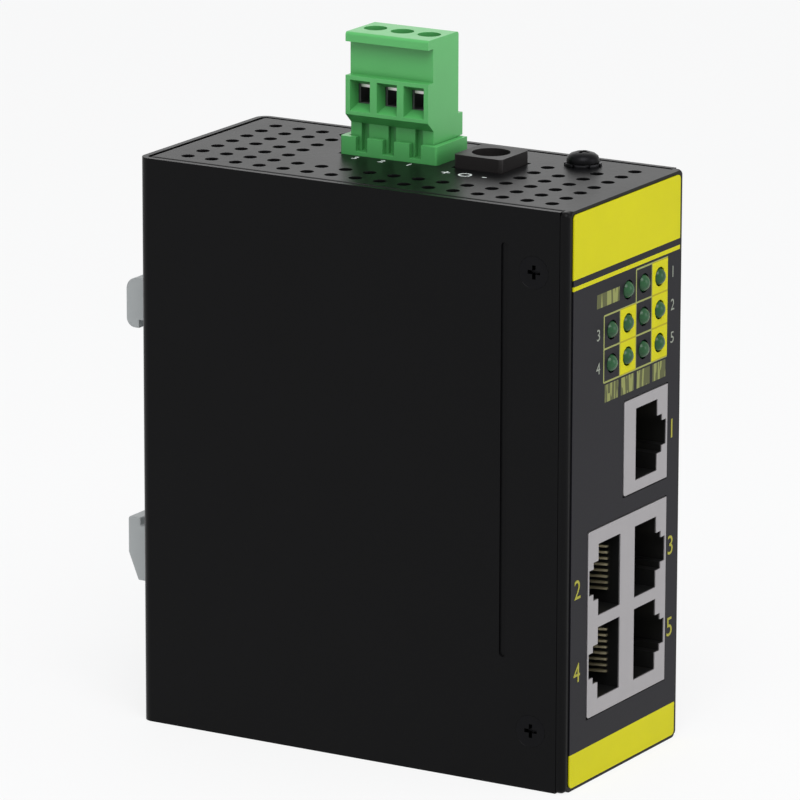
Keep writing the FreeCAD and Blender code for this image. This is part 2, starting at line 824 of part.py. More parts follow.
def make_contacts(which):
    """Eight gilded spring wires per socket, from near the mouth up into the throat."""
    wires = []
    foot = shield_front_y + contact_from_mouth
    lean = foot + contact_foot
    back = shield_front_y + port_depth - contact_from_end
    knee = back - contact_tip
    for contact_x, way, z, kind in sockets():
        if kind != which:
            continue
        t = contact_thickness * way
        tip = contact_x + way * contact_rise
        for i in range(contact_count):
            low = z + contact_pitch * (i - (contact_count - 1) / 2) - contact_width / 2
            outline = [(contact_x, foot, low), (contact_x, lean, low), (tip, knee, low), (tip, back, low),
                       (tip + t, back, low), (tip + t, knee, low), (contact_x + t, foot, low)]
            wires.append(prism(outline, (0, 0, contact_width)))
    return wires


# ---- indicator lamps ----------------------------------------------------------------------
def make_lamp_holder(row):
    """Black moulding that stands on the board and carries one row of lamps."""
    x0 = lamp_x[-1] - lamp_radius - holder_margin
    if row == lamp_rows - 1:
        x0 += lamp_pitch_x
    y0 = front_y + chassis_sheet + seam
    half = lamp_radius + holder_margin
    block = box(x0, board_face, y0, y0 + holder_depth, lamp_z[row] - half, lamp_z[row] + half)
    tools = [faceted(lamp_x[c], y0 - overrun, lamp_z[row], (0, 1, 0), lamp_radius,
                     lamp_back_y - y0 + overrun, lamp_sides) for c, r in lamp_places() if r == row]
    tools += [lead for lead in lamp_leads() if abs(lead.BoundBox.Center.z - lamp_z[row]) < lamp_pitch_z / 2]
    return cut(block, tools)


def make_lamps():
    """Domed lamps, flush against the bottom of their seats."""
    lamps = []
    for column, row in lamp_places():
        x, z = lamp_x[column], lamp_z[row]
        rings = [ring(x, lamp_back_y, z, (0, 1, 0), lamp_radius, lamp_sides)]
        rings += [ring(x, lamp_tip_y + depth, z, (0, 1, 0), lamp_radius * width, lamp_sides)
                  for depth, width in lamp_dome]
        lamps.append(Part.makeLoft(rings, True, True))
    return lamps


# ---- supply terminal ----------------------------------------------------------------------
def make_header():
    """Open-topped shroud on a foot, seated on the board."""
    ox0, ox1, oy0, oy1 = header_out
    ix0, ix1, iy0, iy1 = header_in
    cup = box(ox0, ox1, oy0, oy1, header_low, header_rim)
    cup = fillet_along(cup, header_corner, (0, 0, 1), lambda p: p.x < pin_x)
    foot = box(ox1 - header_wall, board_face, oy0, oy1, header_low, header_low + header_foot_height)
    body = fuse([cup, foot])
    tools = [box(ix0, ix1, iy0, iy1, header_floor_top, header_rim + overrun)]
    half = header_notch_width / 2
    for y in pole_y:
        tools.append(box(ox0 - overrun, ix0 + header_gap, y - half, y + half,
                         header_rim - header_notch_depth, header_rim + overrun))
    return cut(body, tools + header_pins())


def chamber_box(y):
    half = cage_width / 2 + cage_gap
    return box(chamber[0], chamber[1], y - half, y + half, cage_low - cage_gap, chamber_top)


def wire_mouth(y):
    """Funnel from the plug's face into the clamp chamber."""
    z = cage_top - cage_top_plate - wire_drop
    face_x = plug_x0
    outer = Part.makePolygon([Vector(face_x, y + a * wire_mouth_width / 2, z + b * wire_mouth_height / 2)
                              for a, b in ((-1, -1), (1, -1), (1, 1), (-1, 1), (-1, -1))])
    throat_x = chamber[0]
    inner = Part.makePolygon([Vector(throat_x, y + a * wire_throat_width / 2, z + b * wire_throat_height / 2)
                              for a, b in ((-1, -1), (1, -1), (1, 1), (-1, 1), (-1, -1))])
    return Part.makeLoft([outer, inner], True, True)


def contact_pocket(y):
    half = leaf_width / 2 + 2 * leaf_gap
    reach = pin_size / 2 + leaf_gap + leaf_thickness + leaf_gap
    return box(pin_x - reach, pin_x + reach, y - half, y + half, skirt_low - overrun, leaf_top + leaf_gap)


def make_plug():
    """Moulded plug: lipped top, wire block, skirt that enters the header."""
    x_in = plug_x0 + plug_recess
    outline = [(plug_x0, plug_top), (plug_x0, plug_top - plug_lip), (x_in, plug_top - plug_lip),
               (x_in, wire_block_high), (plug_x0, wire_block_high), (plug_x0, wire_block_low),
               (skirt_x0, skirt_shoulder), (skirt_x0, skirt_low), (skirt_x1, skirt_low),
               (skirt_x1, boss_low), (pin_x + boss_reach, boss_low), (pin_x + boss_reach, boss_high),
               (plug_x1, boss_high), (plug_x1, plug_top)]
    points = [(x, plug_y0, z) for x, z in outline]
    body = prism(points, (0, plug_y1 - plug_y0, 0))
    body = fillet_along(body, plug_corner, (0, 1, 0), lambda p: near(p.z, plug_top))
    tools = []
    for y in pole_y:
        tools.append(faceted(clamp_x, y, clamp_head_low - running_gap, (0, 0, 1),
                             clamp_head_radius + 4 * running_gap, plug_top))
        tools.append(faceted(clamp_x, y, chamber_top - overrun, (0, 0, 1), clamp_screw_radius + 3 * running_gap,
                             clamp_head_low - chamber_top + 2 * overrun))
        tools.append(chamber_box(y))
        tools.append(wire_mouth(y))
        tools.append(contact_pocket(y))
        tools.append(box(skirt_x0 - overrun, skirt_x0 + plug_rib_depth, y - plug_rib_width / 2,
                         y + plug_rib_width / 2, header_rim - header_notch_depth, skirt_shoulder))
    return cut(body, tools + [busbar(y) for y in pole_y])


def busbar(y):
    """Fixed strip: through the cage, down behind it, and two leaves that grip the pin."""
    half = busbar_width / 2
    t = busbar_thickness
    x_end = strip_x0 + t
    bar = box(chamber[0] + cage_gap, x_end, y - half, y + half, busbar_top - t, busbar_top)
    strip = box(strip_x0, x_end, y - half, y + half, leaf_top, busbar_top)
    reach = pin_size / 2 + leaf_gap + leaf_thickness
    bridge = box(pin_x - reach, x_end, y - half, y + half, leaf_top, leaf_top + t)
    leaves = []
    for side in (-1, 1):
        x0, x1 = sorted((pin_x + side * (pin_size / 2 + leaf_gap), pin_x + side * reach))
        leaves.append(box(x0, x1, y - leaf_width / 2, y + leaf_width / 2, leaf_low, leaf_top))
    return fuse([bar, strip, bridge] + leaves)


def make_clamp_screw(y):
    """Slotted screw that turns in place and draws the cage up."""
    head = faceted(clamp_x, y, clamp_head_low, (0, 0, 1), clamp_head_radius, clamp_head_height)
    tip = busbar_top + running_gap
    shank = faceted(clamp_x, y, tip, (0, 0, 1), clamp_screw_radius, clamp_head_low - tip)
    slot = box(clamp_x - clamp_head_radius - overrun, clamp_x + clamp_head_radius + overrun,
               y - clamp_slot_width / 2, y + clamp_slot_width / 2,
               clamp_head_top - clamp_slot_depth, clamp_head_top + overrun)
    return fuse([head, shank]).cut(slot)


def make_clamp_cage(y):
    """Square cage open along X, with a threaded top plate."""
    x0, x1 = clamp_x - cage_length / 2, clamp_x + cage_length / 2
    half = cage_width / 2
    body = box(x0, x1, y - half, y + half, cage_low, cage_top)
    window = box(x0 - overrun, x1 + overrun, y - half + cage_wall, y + half - cage_wall, cage_low + cage_floor,
                 cage_top - cage_top_plate)
    bore = faceted(clamp_x, y, cage_top - 2 * cage_top_plate, (0, 0, 1), clamp_screw_radius + running_gap,
                   3 * cage_top_plate)
    return cut(body, [window, bore])


# ---- round power socket -------------------------------------------------------------------
def make_power_socket():
    """Moulding on the board whose collar rises through the top wall."""
    half = power_collar / 2
    collar = box(power_x - half, power_x + half, power_y - half, power_y + half,
                 power_top - power_collar_depth, power_top)
    collar = fillet_along(collar, power_corner, (0, 0, 1), lambda p: True)
    neck = half - power_body_narrow
    body = box(power_x - neck, power_x + neck, power_y - neck, power_y + neck, power_low,
               power_top - power_collar_depth)
    foot = box(power_x, board_face, power_y - neck, power_y + neck, power_low, board_top)
    tools = [rod(power_x, power_y, power_top - power_bore_depth, (0, 0, 1), power_bore_radius,
                 power_bore_depth + overrun),
             faceted(power_x, power_y, power_low + power_body_floor, (0, 0, 1), power_pin_radius,
                     power_body_length)]
    return cut(fuse([collar, body, foot]), tools + power_legs())


def make_power_pin():
    """Centre pin with a bevelled nose."""
    low = power_low + power_body_floor
    nose = power_top - power_bore_depth + power_pin_height - power_nose
    return fuse([faceted(power_x, power_y, low, (0, 0, 1), power_pin_radius, nose - low),
                 faceted_taper(power_x, power_y, nose, (0, 0, 1), power_pin_radius,
                               power_pin_radius - power_nose, power_nose)])


# ---- rail clip ----------------------------------------------------------------------------
def make_clip_base():
    """Plate on the back wall with the fixed upper hook and the latch's guide."""
    half = clip_width / 2
    hook_root = rail_top + rail_clearance
    outline = [(back_y, rail_low), (clip_face, rail_low), (clip_face, hook_root), (hook_inner, hook_root),
               (hook_inner, hook_low), (clip_back, hook_low), (clip_back, hook_top), (back_y, hook_top)]
    body = prism([(-half, y, z) for y, z in outline], (clip_width, 0, 0))
    body = fillet_along(body, hook_radius, (1, 0, 0), lambda p: near(p.y, clip_back) and near(p.z, hook_top))
    body = fillet_along(body, hook_radius * 0.8, (1, 0, 0),
                        lambda p: near(p.y, clip_back) and near(p.z, hook_low))
    guide = tongue_width / 2 + tongue_gap
    tools = [box(-guide, guide, back_y - overrun, back_y + tongue_thickness + 2 * tongue_gap,
                 rail_low - overrun, tongue_top + tongue_gap)]
    pocket = spring_radius + spring_pocket_gap
    tools.append(box(-pocket, pocket, back_y - overrun, spring_y + pocket, spring_low,
                     spring_low + spring_length + spring_run_out))
    for x, z in clip_screw_places():
        tools.append(faceted(x, back_y - overrun, z, (0, 1, 0), clip_screw_radius + screw_gap,
                             clip_plate + 2 * overrun))
        tools.append(faceted_taper(x, clip_face, z, (0, -1, 0), clip_screw_head, clip_screw_radius,
                                   clip_screw_head - clip_screw_radius))
    return cut(body, tools)


def make_latch():
    """Sliding lower hook with a tongue behind the plate."""
    half = clip_width / 2
    y0 = back_y + tongue_gap
    outline = [(y0, latch_low), (clip_back - latch_toe, latch_low), (clip_back, latch_taper_from),
               (clip_back, latch_top), (hook_inner, latch_top), (hook_inner, latch_shoulder),
               (y0, latch_shoulder)]
    hook = prism([(-half, y, z) for y, z in outline], (clip_width, 0, 0))
    hook = fillet_along(hook, latch_corner, (1, 0, 0), lambda p: near(p.y, clip_back) and near(p.z, latch_top))
    side = tongue_width / 2
    tongue = box(-side, side, y0, y0 + tongue_thickness, latch_shoulder - overrun, tongue_top - tongue_gap)
    pocket = spring_radius + spring_pocket_gap
    window = box(-pocket, pocket, back_y, y0 + 2 * tongue_thickness, spring_low - latch_travel - overrun,
                 spring_low + spring_length)
    slot = box(-latch_slot_width / 2, latch_slot_width / 2, clip_back - latch_toe - latch_slot_depth, clip_back,
               latch_low - overrun, latch_low + latch_slot_height)
    return cut(fuse([hook, tongue]), [window, slot])


def make_latch_spring():
    """Coil between the plate's ledge and the top of the tongue's window, bent in short stretches."""
    r = spring_radius - spring_wire / 2
    run = spring_length - spring_wire
    steps = spring_turns * spring_steps
    sections = []
    for i in range(steps + 1):
        section = ring(0, 0, 0, (0, 1, 0), spring_wire / 2, spring_sides)
        section.translate(Vector(r, 0, run * i / steps))
        section.rotate(Vector(0, 0, 0), Vector(0, 0, 1), 90 + 360 * i / spring_steps)
        sections.append(section)
    coil = Part.makeLoft(sections, True, True)
    coil.translate(Vector(0, spring_y, spring_low + spring_wire / 2))
    return coil


def make_clip_screws():
    length = clip_plate + cover_sheet + clip_nut_height + clip_screw_past_nut
    return [flat_head_screw(x, clip_face, z, (0, -1, 0), clip_screw_head, length, clip_screw_radius,
                            clip_screw_head - clip_screw_radius)
            for x, z in clip_screw_places()]


def make_clip_nuts():
    """Hexagon nuts inside the back wall."""
    nuts = []
    y1 = back_y - cover_sheet
    corner = clip_nut_width / 2 / math.cos(math.pi / 6)
    for x, z in clip_screw_places():
        ring = [(x + corner * math.cos(math.radians(60 * i)), y1, z + corner * math.sin(math.radians(60 * i)))
                for i in range(6)]
        nut = prism(ring, (0, -clip_nut_height, 0))
        nuts.append(nut.cut(faceted(x, y1 + overrun, z, (0, -1, 0), clip_screw_radius + screw_gap,
                                    clip_nut_height + 2 * overrun)))
    return nuts


# ---- parts on the board -------------------------------------------------------------------
def on_board(place):
    """Y and Z of a place given from the front face."""
    return front_y + place[0], case_height - place[1]


def on_board_back(place):
    """Y and Z of a place given from the back face."""
    return back_y - place[0], case_height - place[1]


def block_on_board(size, centre, corner=package_corner):
    """A moulded component of height, depth and length, standing on the board."""
    height, wide, tall = size
    y, z = centre
    body = box(board_face - height, board_face, y - wide / 2, y + wide / 2, z - tall / 2, z + tall / 2)
    return body if corner == 0 else bevel_along(body, corner, (1, 0, 0))


def make_magnetics(index, count):
    """One of a column of transformers that fills the height beside the sockets."""
    pitch = (magnetics_high - magnetics_low + magnetics_spacing) / count
    tall = pitch - magnetics_spacing
    middle = magnetics_low + tall / 2 + pitch * index
    return block_on_board((magnetics_height, magnetics_width, tall), (front_y + magnetics_from_front, middle))


def make_switch_chip():
    """Flat square package with leads on its four sides."""
    height, wide, tall = chip_size
    y, z = on_board(chip_place)
    top = board_face - chip_standoff
    half = chip_lead_width / 2
    pieces = [box(top - height, top, y - wide / 2, y + wide / 2, z - tall / 2, z + tall / 2)]
    step = chip_lead_span / (chip_lead_count - 1)
    for i in range(chip_lead_count):
        along = step * (i - (chip_lead_count - 1) / 2)
        for side in (-1, 1):
            y0, y1 = sorted((y + side * wide / 2, y + side * (wide / 2 + chip_lead_reach)))
            pieces.append(box(board_face - height / 2, board_face, y0, y1, z + along - half, z + along + half))
            z0, z1 = sorted((z + side * tall / 2, z + side * (tall / 2 + chip_lead_reach)))
            pieces.append(box(board_face - height / 2, board_face, y + along - half, y + along + half, z0, z1))
    return fuse(pieces)


def make_capacitor(centre):
    """Upright electrolytic can with a rolled groove near its foot and a bevelled top."""
    y, z = centre
    r = capacitor_radius
    g = capacitor_groove
    profile = [(0, r), (capacitor_groove_rise - g, r), (capacitor_groove_rise, r - g),
               (capacitor_groove_rise + g, r), (capacitor_height - capacitor_bevel, r),
               (capacitor_height, r - capacitor_bevel)]
    rings = [ring(board_face - rise, y, z, (-1, 0, 0), radius, screw_sides) for rise, radius in profile]
    return Part.makeLoft(rings, True, True)


def make_crystal():
    """Oval metal can."""
    y, z = on_board(crystal_place)
    height, wide, tall = crystal_size
    r = wide / 2
    half_run = tall / 2 - r
    middle = box(board_face - height, board_face, y - r, y + r, z - half_run, z + half_run)
    ends = [rod(board_face, y, z + s * half_run, (-1, 0, 0), r, height) for s in (-1, 1)]
    return fuse([middle] + ends)


def make_inductor():
    """Shielded power coil with a dished top."""
    y, z = on_board(inductor_place)
    base = block_on_board(inductor_size, (y, z), inductor_corner)
    return base.cut(faceted(board_face - inductor_size[0] - overrun, y, z, (1, 0, 0), inductor_dish_radius,
                            overrun + inductor_dish_depth))


NODES = {
    "chassis": make_chassis(),
    "cover": make_cover(),
    "cover_screws": make_cover_screws(),
    "front_label": make_front_label(),
    "ground_screw": make_ground_screw(),
    "ground_washer": make_ground_washer(),
    "ground_nut": make_ground_nut(),
    "main_board": make_main_board(),
    "board_standoffs": make_board_standoffs(),
    "board_screws": make_board_screws(),
    "quad_shield": make_shield("quad", quad_outline(), quad_length),
    "quad_socket_body": make_socket_body("quad", quad_outline(), quad_length),
    "quad_contacts": make_contacts("quad"),
    "single_shield": make_shield("single", single_outline(), single_length),
    "single_socket_body": make_socket_body("single", single_outline(), single_length),
    "single_contacts": make_contacts("single"),
    "lamps": make_lamps(),
    "lamp_leads": lamp_leads(),
    "terminal_header": make_header(),
    "header_pins": header_pins(),
    "terminal_plug": make_plug(),
    "plug_contacts": [busbar(y) for y in pole_y],
    "power_socket": make_power_socket(),
    "power_pin": make_power_pin(),
    "power_legs": power_legs(),
    "clip_base": make_clip_base(),
    "clip_latch": make_latch(),
    "latch_spring": make_latch_spring(),
    "clip_screws": make_clip_screws(),
    "clip_nuts": make_clip_nuts(),
    "switch_chip": make_switch_chip(),
    "capacitor_1": make_capacitor(on_board_back(capacitor_places_back[0])),
    "capacitor_2": make_capacitor(on_board_back(capacitor_places_back[1])),
    "crystal": make_crystal(),
    "power_inductor": make_inductor(),
    "regulator": block_on_board(regulator_size, on_board(regulator_place)),
    "supply_fuse": block_on_board(fuse_size, on_board_back(fuse_place_back)),
    "input_diode": block_on_board(diode_size, on_board_back(diode_place_back)),
}
for number in range(lamp_rows):
    NODES["lamp_holder_%d" % (number + 1)] = make_lamp_holder(number)
for number, place in enumerate(pole_y):
    NODES["clamp_screw_%d" % (number + 1)] = make_clamp_screw(place)
    NODES["clamp_cage_%d" % (number + 1)] = make_clamp_cage(place)
for number in range(len(sockets())):
    NODES["port_transformer_%d" % (number + 1)] = make_magnetics(number, len(sockets()))

os.makedirs("parts", exist_ok=True)
for node, made in NODES.items():
    shape = Part.makeCompound(made) if isinstance(made, list) else made
    if not shape.isValid():
        print("not valid:", node)
    shape.exportStep("parts/%s.step" % node)
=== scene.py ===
import json
import math

import bmesh
import bpy
from bpy.props import FloatProperty, FloatVectorProperty, IntProperty, PointerProperty
from mathutils import Matrix, Vector


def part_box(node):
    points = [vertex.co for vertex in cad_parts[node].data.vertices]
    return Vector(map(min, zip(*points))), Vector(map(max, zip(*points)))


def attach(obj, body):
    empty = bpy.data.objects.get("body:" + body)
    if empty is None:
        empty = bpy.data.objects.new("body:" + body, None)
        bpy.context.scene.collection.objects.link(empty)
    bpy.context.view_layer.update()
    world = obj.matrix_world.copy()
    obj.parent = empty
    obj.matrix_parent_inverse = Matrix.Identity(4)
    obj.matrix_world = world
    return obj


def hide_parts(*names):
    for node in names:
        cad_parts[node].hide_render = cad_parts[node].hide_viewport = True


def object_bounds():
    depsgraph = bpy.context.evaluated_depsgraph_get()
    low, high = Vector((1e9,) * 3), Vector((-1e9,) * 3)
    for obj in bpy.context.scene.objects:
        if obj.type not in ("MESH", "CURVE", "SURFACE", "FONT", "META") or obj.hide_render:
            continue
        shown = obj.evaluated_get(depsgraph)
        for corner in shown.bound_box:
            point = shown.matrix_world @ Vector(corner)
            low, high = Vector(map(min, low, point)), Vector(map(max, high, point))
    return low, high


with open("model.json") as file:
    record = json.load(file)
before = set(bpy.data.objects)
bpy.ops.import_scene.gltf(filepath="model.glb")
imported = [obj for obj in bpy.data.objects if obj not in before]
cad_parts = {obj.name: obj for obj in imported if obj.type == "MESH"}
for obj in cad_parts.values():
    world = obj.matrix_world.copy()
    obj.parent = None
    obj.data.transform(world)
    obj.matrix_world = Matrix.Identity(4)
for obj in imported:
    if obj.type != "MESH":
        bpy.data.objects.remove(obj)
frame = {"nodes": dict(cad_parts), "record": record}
NODES = frame["nodes"]
CAD_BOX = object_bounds()

bl_info = {
    "name": "Rail switch finish",
    "version": (1, 0, 0),
    "blender": (4, 5, 0),
    "location": "3D View > Sidebar > Rail switch",
    "description": "Dresses the packed rail-mounted network switch: paint, print, metals and resins",
    "category": "Object",
}

MM = 0.001
POLES = (1, 2, 3)
SAME_POINT = 1e-7               # corners nearer than this are one
CAD_SAME_POINT = 2e-6           # the same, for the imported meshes
PRINT_LIFT = 0.00001            # of print above its ground
PRINT_THICKNESS = 0.00003
SHARP_ANGLE = math.radians(30)
X, Y, Z = (Vector(axis) for axis in ((1, 0, 0), (0, 1, 0), (0, 0, 1)))


# ---- shader maths -------------------------------------------------------------------------
class Value:
    """A node's output that can be used in sums, products and comparisons."""

    def __init__(self, nodes, socket):
        self.nodes = nodes
        self.socket = socket

    def _math(self, operation, *terms):
        made = self.nodes.node("ShaderNodeMath", {"operation": operation}, dict(enumerate(terms)))
        return Value(self.nodes, made.outputs[0])

    def __add__(self, other):
        return self._math("ADD", self, other)

    def __radd__(self, other):
        return self._math("ADD", other, self)

    def __sub__(self, other):
        return self._math("SUBTRACT", self, other)

    def __rsub__(self, other):
        return self._math("SUBTRACT", other, self)

    def __mul__(self, other):
        return self._math("MULTIPLY", self, other)

    def __rmul__(self, other):
        return self._math("MULTIPLY", other, self)

    def __truediv__(self, other):
        return self._math("DIVIDE", self, other)

    def __gt__(self, other):
        return self._math("GREATER_THAN", self, other)

    def __lt__(self, other):
        return self._math("LESS_THAN", self, other)

    def __abs__(self):
        return self._math("ABSOLUTE", self)

    def fraction(self):
        return self._math("FRACT", self)

    def at_least(self, other):
        return self._math("MAXIMUM", self, other)

    def clamped(self):
        return self._math("MINIMUM", self.at_least(0.0), 1.0)

    def between(self, low, high):
        return (self > low) * (self < high)


class Nodes:
    """A node tree that is emptied and then filled by short calls."""

    def __init__(self, owner):
        owner.use_nodes = True
        self.tree = owner.node_tree
        self.tree.nodes.clear()

    def node(self, kind, settings=None, sockets=None):
        made = self.tree.nodes.new(kind)
        for name, value in (settings or {}).items():
            setattr(made, name, value)
        for name, value in (sockets or {}).items():
            self.feed(made.inputs[name], value)
        return made

    def feed(self, socket, value):
        if isinstance(value, Value):
            self.tree.links.new(value.socket, socket)
        elif isinstance(value, bpy.types.NodeSocket):
            self.tree.links.new(value, socket)
        elif socket.type == "RGBA":
            socket.default_value = (*value, 1.0)
        else:
            socket.default_value = value

    def seen_directly(self):
        """1 for what the camera sees, also by reflection or through glass."""
        rays = self.node("ShaderNodeLightPath").outputs
        camera, glossy, through = (Value(self, rays["Is %s Ray" % kind])
                                   for kind in ("Camera", "Glossy", "Transmission"))
        return camera.at_least(glossy).at_least(through)


class Paint(Nodes):
    """One material, its nodes, and the object's own coordinates in millimetres."""

    def __init__(self, name):
        self.material = bpy.data.materials.new(name)
        super().__init__(self.material)
        self.shader = self.node("ShaderNodeBsdfPrincipled")
        self.output = self.node("ShaderNodeOutputMaterial", {}, {0: self.shader.outputs[0]})
        self.place = self.node("ShaderNodeTexCoord").outputs["Object"]

    def axes(self):
        """X, Y and Z of the surface in millimetres."""
        split = self.node("ShaderNodeSeparateXYZ", {}, {0: self.place})
        return [Value(self, output) * (1.0 / MM) for output in split.outputs]

    def noise(self, scale, detail=2.0, roughness=0.5, stretch=(1.0, 1.0, 1.0)):
        """Soft noise in 0 to 1; the scale is in cells per metre."""
        spread = self.node("ShaderNodeMapping", {}, {0: self.place, 3: stretch})
        made = self.node("ShaderNodeTexNoise", {}, {"Vector": spread.outputs[0], "Scale": scale,
                                                    "Detail": detail, "Roughness": roughness})
        return Value(self, made.outputs[0])

    def mix(self, factor, first, second):
        """One colour where the factor is 0 and another where it is 1."""
        made = self.node("ShaderNodeMix", {"data_type": "RGBA"})
        self.feed(made.inputs["Factor"], factor)
        self.feed(made.inputs[6], first)
        self.feed(made.inputs[7], second)
        return made.outputs[2]

    def bump(self, height, distance, strength=1.0):
        made = self.node("ShaderNodeBump", {}, {"Height": height, "Distance": distance,
                                                "Strength": strength})
        self.feed(self.shader.inputs["Normal"], made.outputs[0])

    def set(self, **sockets):
        for name, value in sockets.items():
            self.feed(self.shader.inputs[name.replace("_", " ")], value)
        return self.material


def scaled(shade, share):
    """A lighter or darker shade of a colour."""
    return tuple(min(c * share, 1.0) for c in shade)


def varied(paint, shade, scale, amount):
    """A colour that drifts a little lighter and darker over the surface."""
    drift = paint.noise(scale, 3.0)
    return paint.mix(drift, scaled(shade, 1.0 - amount), scaled(shade, 1.0 + amount))


def powder_coat(name, shade):
    """Satin powder coat: fine orange peel, faint cloudiness in the sheen."""
    paint = Paint(name)
    peel = paint.noise(2600.0, 2.0) + paint.noise(700.0, 1.0) * 0.6
    paint.bump(peel, 0.00005, 0.35)
    cloud = paint.noise(45.0, 3.0)
    return paint.set(Base_Color=varied(paint, shade, 60.0, 0.12), Roughness=cloud * 0.08 + 0.3,
                     Specular_IOR_Level=0.09)


def moulded(name, shade, roughness=0.36, grain=0.25, gloss=0.5, painted_hollow_shade=0.0):
    """Injection-moulded resin with a fine spark-eroded grain; where asked, painted shade darkens its
    colour in hollows and crevices.
    """
    paint = Paint(name)
    paint.bump(paint.noise(3000.0, 2.0), 0.00004, grain)
    worn = paint.noise(300.0, 2.0)
    colour_now = varied(paint, shade, 120.0, 0.07)
    if painted_hollow_shade:
        # Painted shade: an ambient occlusion node darkens the base colour where nearby surfaces close
        # in.
        openness = paint.node("ShaderNodeAmbientOcclusion", {"samples": 8}, {"Distance": 0.004})
        hollow_shade_mask = ((1.0 - Value(paint, openness.outputs["AO"])) * 1.6).clamped()
        colour_now = paint.mix(hollow_shade_mask * painted_hollow_shade, colour_now, scaled(shade, 0.12))
    return paint.set(Base_Color=colour_now, Roughness=worn * 0.12 + roughness,
                     Specular_IOR_Level=gloss)


def metal(name, shade, roughness=0.3, stretch=(1.0, 1.0, 1.0), grain=0.2):
    """Plated or tinned metal, with drawn lines where the stretch says so."""
    paint = Paint(name)
    lines = paint.noise(1800.0, 3.0, 0.6, stretch)
    paint.bump(lines, 0.00002, grain)
    return paint.set(Base_Color=varied(paint, shade, 180.0, 0.08), Metallic=1.0,
                     Roughness=lines * 0.16 + roughness)


def tinned_sheet(name, shade):
    """Dull tin plate of the socket shields: rolled lines and soft blotches."""
    paint = Paint(name)
    lines = paint.noise(900.0, 3.0, 0.6, (1.0, 1.0, 0.06))
    blotch = paint.noise(220.0, 3.0)
    paint.bump(lines, 0.00002, 0.2)
    return paint.set(Base_Color=paint.mix(blotch, scaled(shade, 0.88), shade), Metallic=0.75,
                     Roughness=lines * 0.1 + blotch * 0.15 + 0.36)


def solder_resist(name, shade):
    """Green lacquer over tracks, which show as slightly lighter runs."""
    paint = Paint(name)
    track_pitch = 1.27
    track = (paint.axes()[2] / track_pitch).fraction()
    runs = (abs(track - 0.5) < 0.17) * (paint.noise(140.0, 1.0) > 0.5)
    colour_now = paint.mix(runs, shade, scaled(shade, 1.7))
    paint.bump(runs, 0.00003, 0.5)
    return paint.set(Base_Color=colour_now, Roughness=paint.noise(200.0) * 0.1 + 0.25)


def lamp_resin(name, shade):
    """Tinted cast resin, cloudy from place to place."""
    paint = Paint(name)
    cast = paint.noise(500.0, 2.0)
    return paint.set(Base_Color=paint.mix(cast, scaled(shade, 0.55), scaled(shade, 1.25)),
                     Roughness=cast * 0.1 + 0.2, Specular_IOR_Level=0.3)


# ---- meshes -------------------------------------------------------------------------------
def add_object(name, bm, material, body, smooth_angle=35.0):
    """A finished piece from a bmesh: its object at the origin, its place in its mesh."""
    bmesh.ops.remove_doubles(bm, verts=bm.verts, dist=SAME_POINT)
    mesh = bpy.data.meshes.new(name)
    bm.to_mesh(mesh)
    bm.free()
    mesh.materials.append(material)
    mesh.polygons.foreach_set("use_smooth", [True] * len(mesh.polygons))
    mesh.set_sharp_from_angle(angle=math.radians(smooth_angle))
    made = bpy.data.objects.new(name, mesh)
    bpy.context.scene.collection.objects.link(made)
    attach(made, body)
    return made


def paint_nodes(material, *nodes):
    """Give CAD nodes their finish."""
    for node in nodes:
        mesh = NODES[node].data
        mesh.materials.clear()
        mesh.materials.append(material)


def body_of(node):
    return next(b for b, nodes in frame["record"]["behaviour"]["bodies"].items() if node in nodes)


def merged_copy(node):
    """A CAD node's solids with shared corners and undivided flat faces."""
    bm = bmesh.new()
    bm.from_mesh(NODES[node].data)
    bmesh.ops.remove_doubles(bm, verts=bm.verts, dist=CAD_SAME_POINT)
    bmesh.ops.dissolve_limit(bm, angle_limit=math.radians(0.5), verts=bm.verts, edges=bm.edges)
    return bm


def islands(node):
    """Lowest and highest corner of each separate solid in a node."""
    bm = bmesh.new()
    bm.from_mesh(NODES[node].data)
    bmesh.ops.remove_doubles(bm, verts=bm.verts, dist=CAD_SAME_POINT)
    left = set(bm.verts)
    boxes = []
    while left:
        group, edge_of_group = set(), [left.pop()]
        while edge_of_group:
            vert = edge_of_group.pop()
            group.add(vert)
            fresh = [e.other_vert(vert) for e in vert.link_edges if e.other_vert(vert) in left]
            left.difference_update(fresh)
            edge_of_group.extend(fresh)
        points = [v.co for v in group]
        low = Vector([min(p[i] for p in points) for i in range(3)])
        high = Vector([max(p[i] for p in points) for i in range(3)])
        boxes.append((low, high))
    bm.free()
    return sorted(boxes, key=lambda b: (round(b[0].z, 5), round(b[0].y, 5), round(b[0].x, 5)))


def softened(node, width, material):
    """A CAD node's own shape with its sharp edges eased, in place of the node."""
    bm = merged_copy(node)
    sharp = [e for e in bm.edges if len(e.link_faces) == 2 and e.calc_face_angle(0.0) > SHARP_ANGLE]
    bmesh.ops.bevel(bm, geom=sharp, offset=width * MM, offset_type="OFFSET", affect="EDGES",
                    segments=2, profile=0.5, material=-1, clamp_overlap=True)
    made = add_object(node + "_moulding", bm, material, body_of(node), 50.0)
    weighted = made.modifiers.new("even_faces", "WEIGHTED_NORMAL")
    weighted.keep_sharp = True
    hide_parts(node)


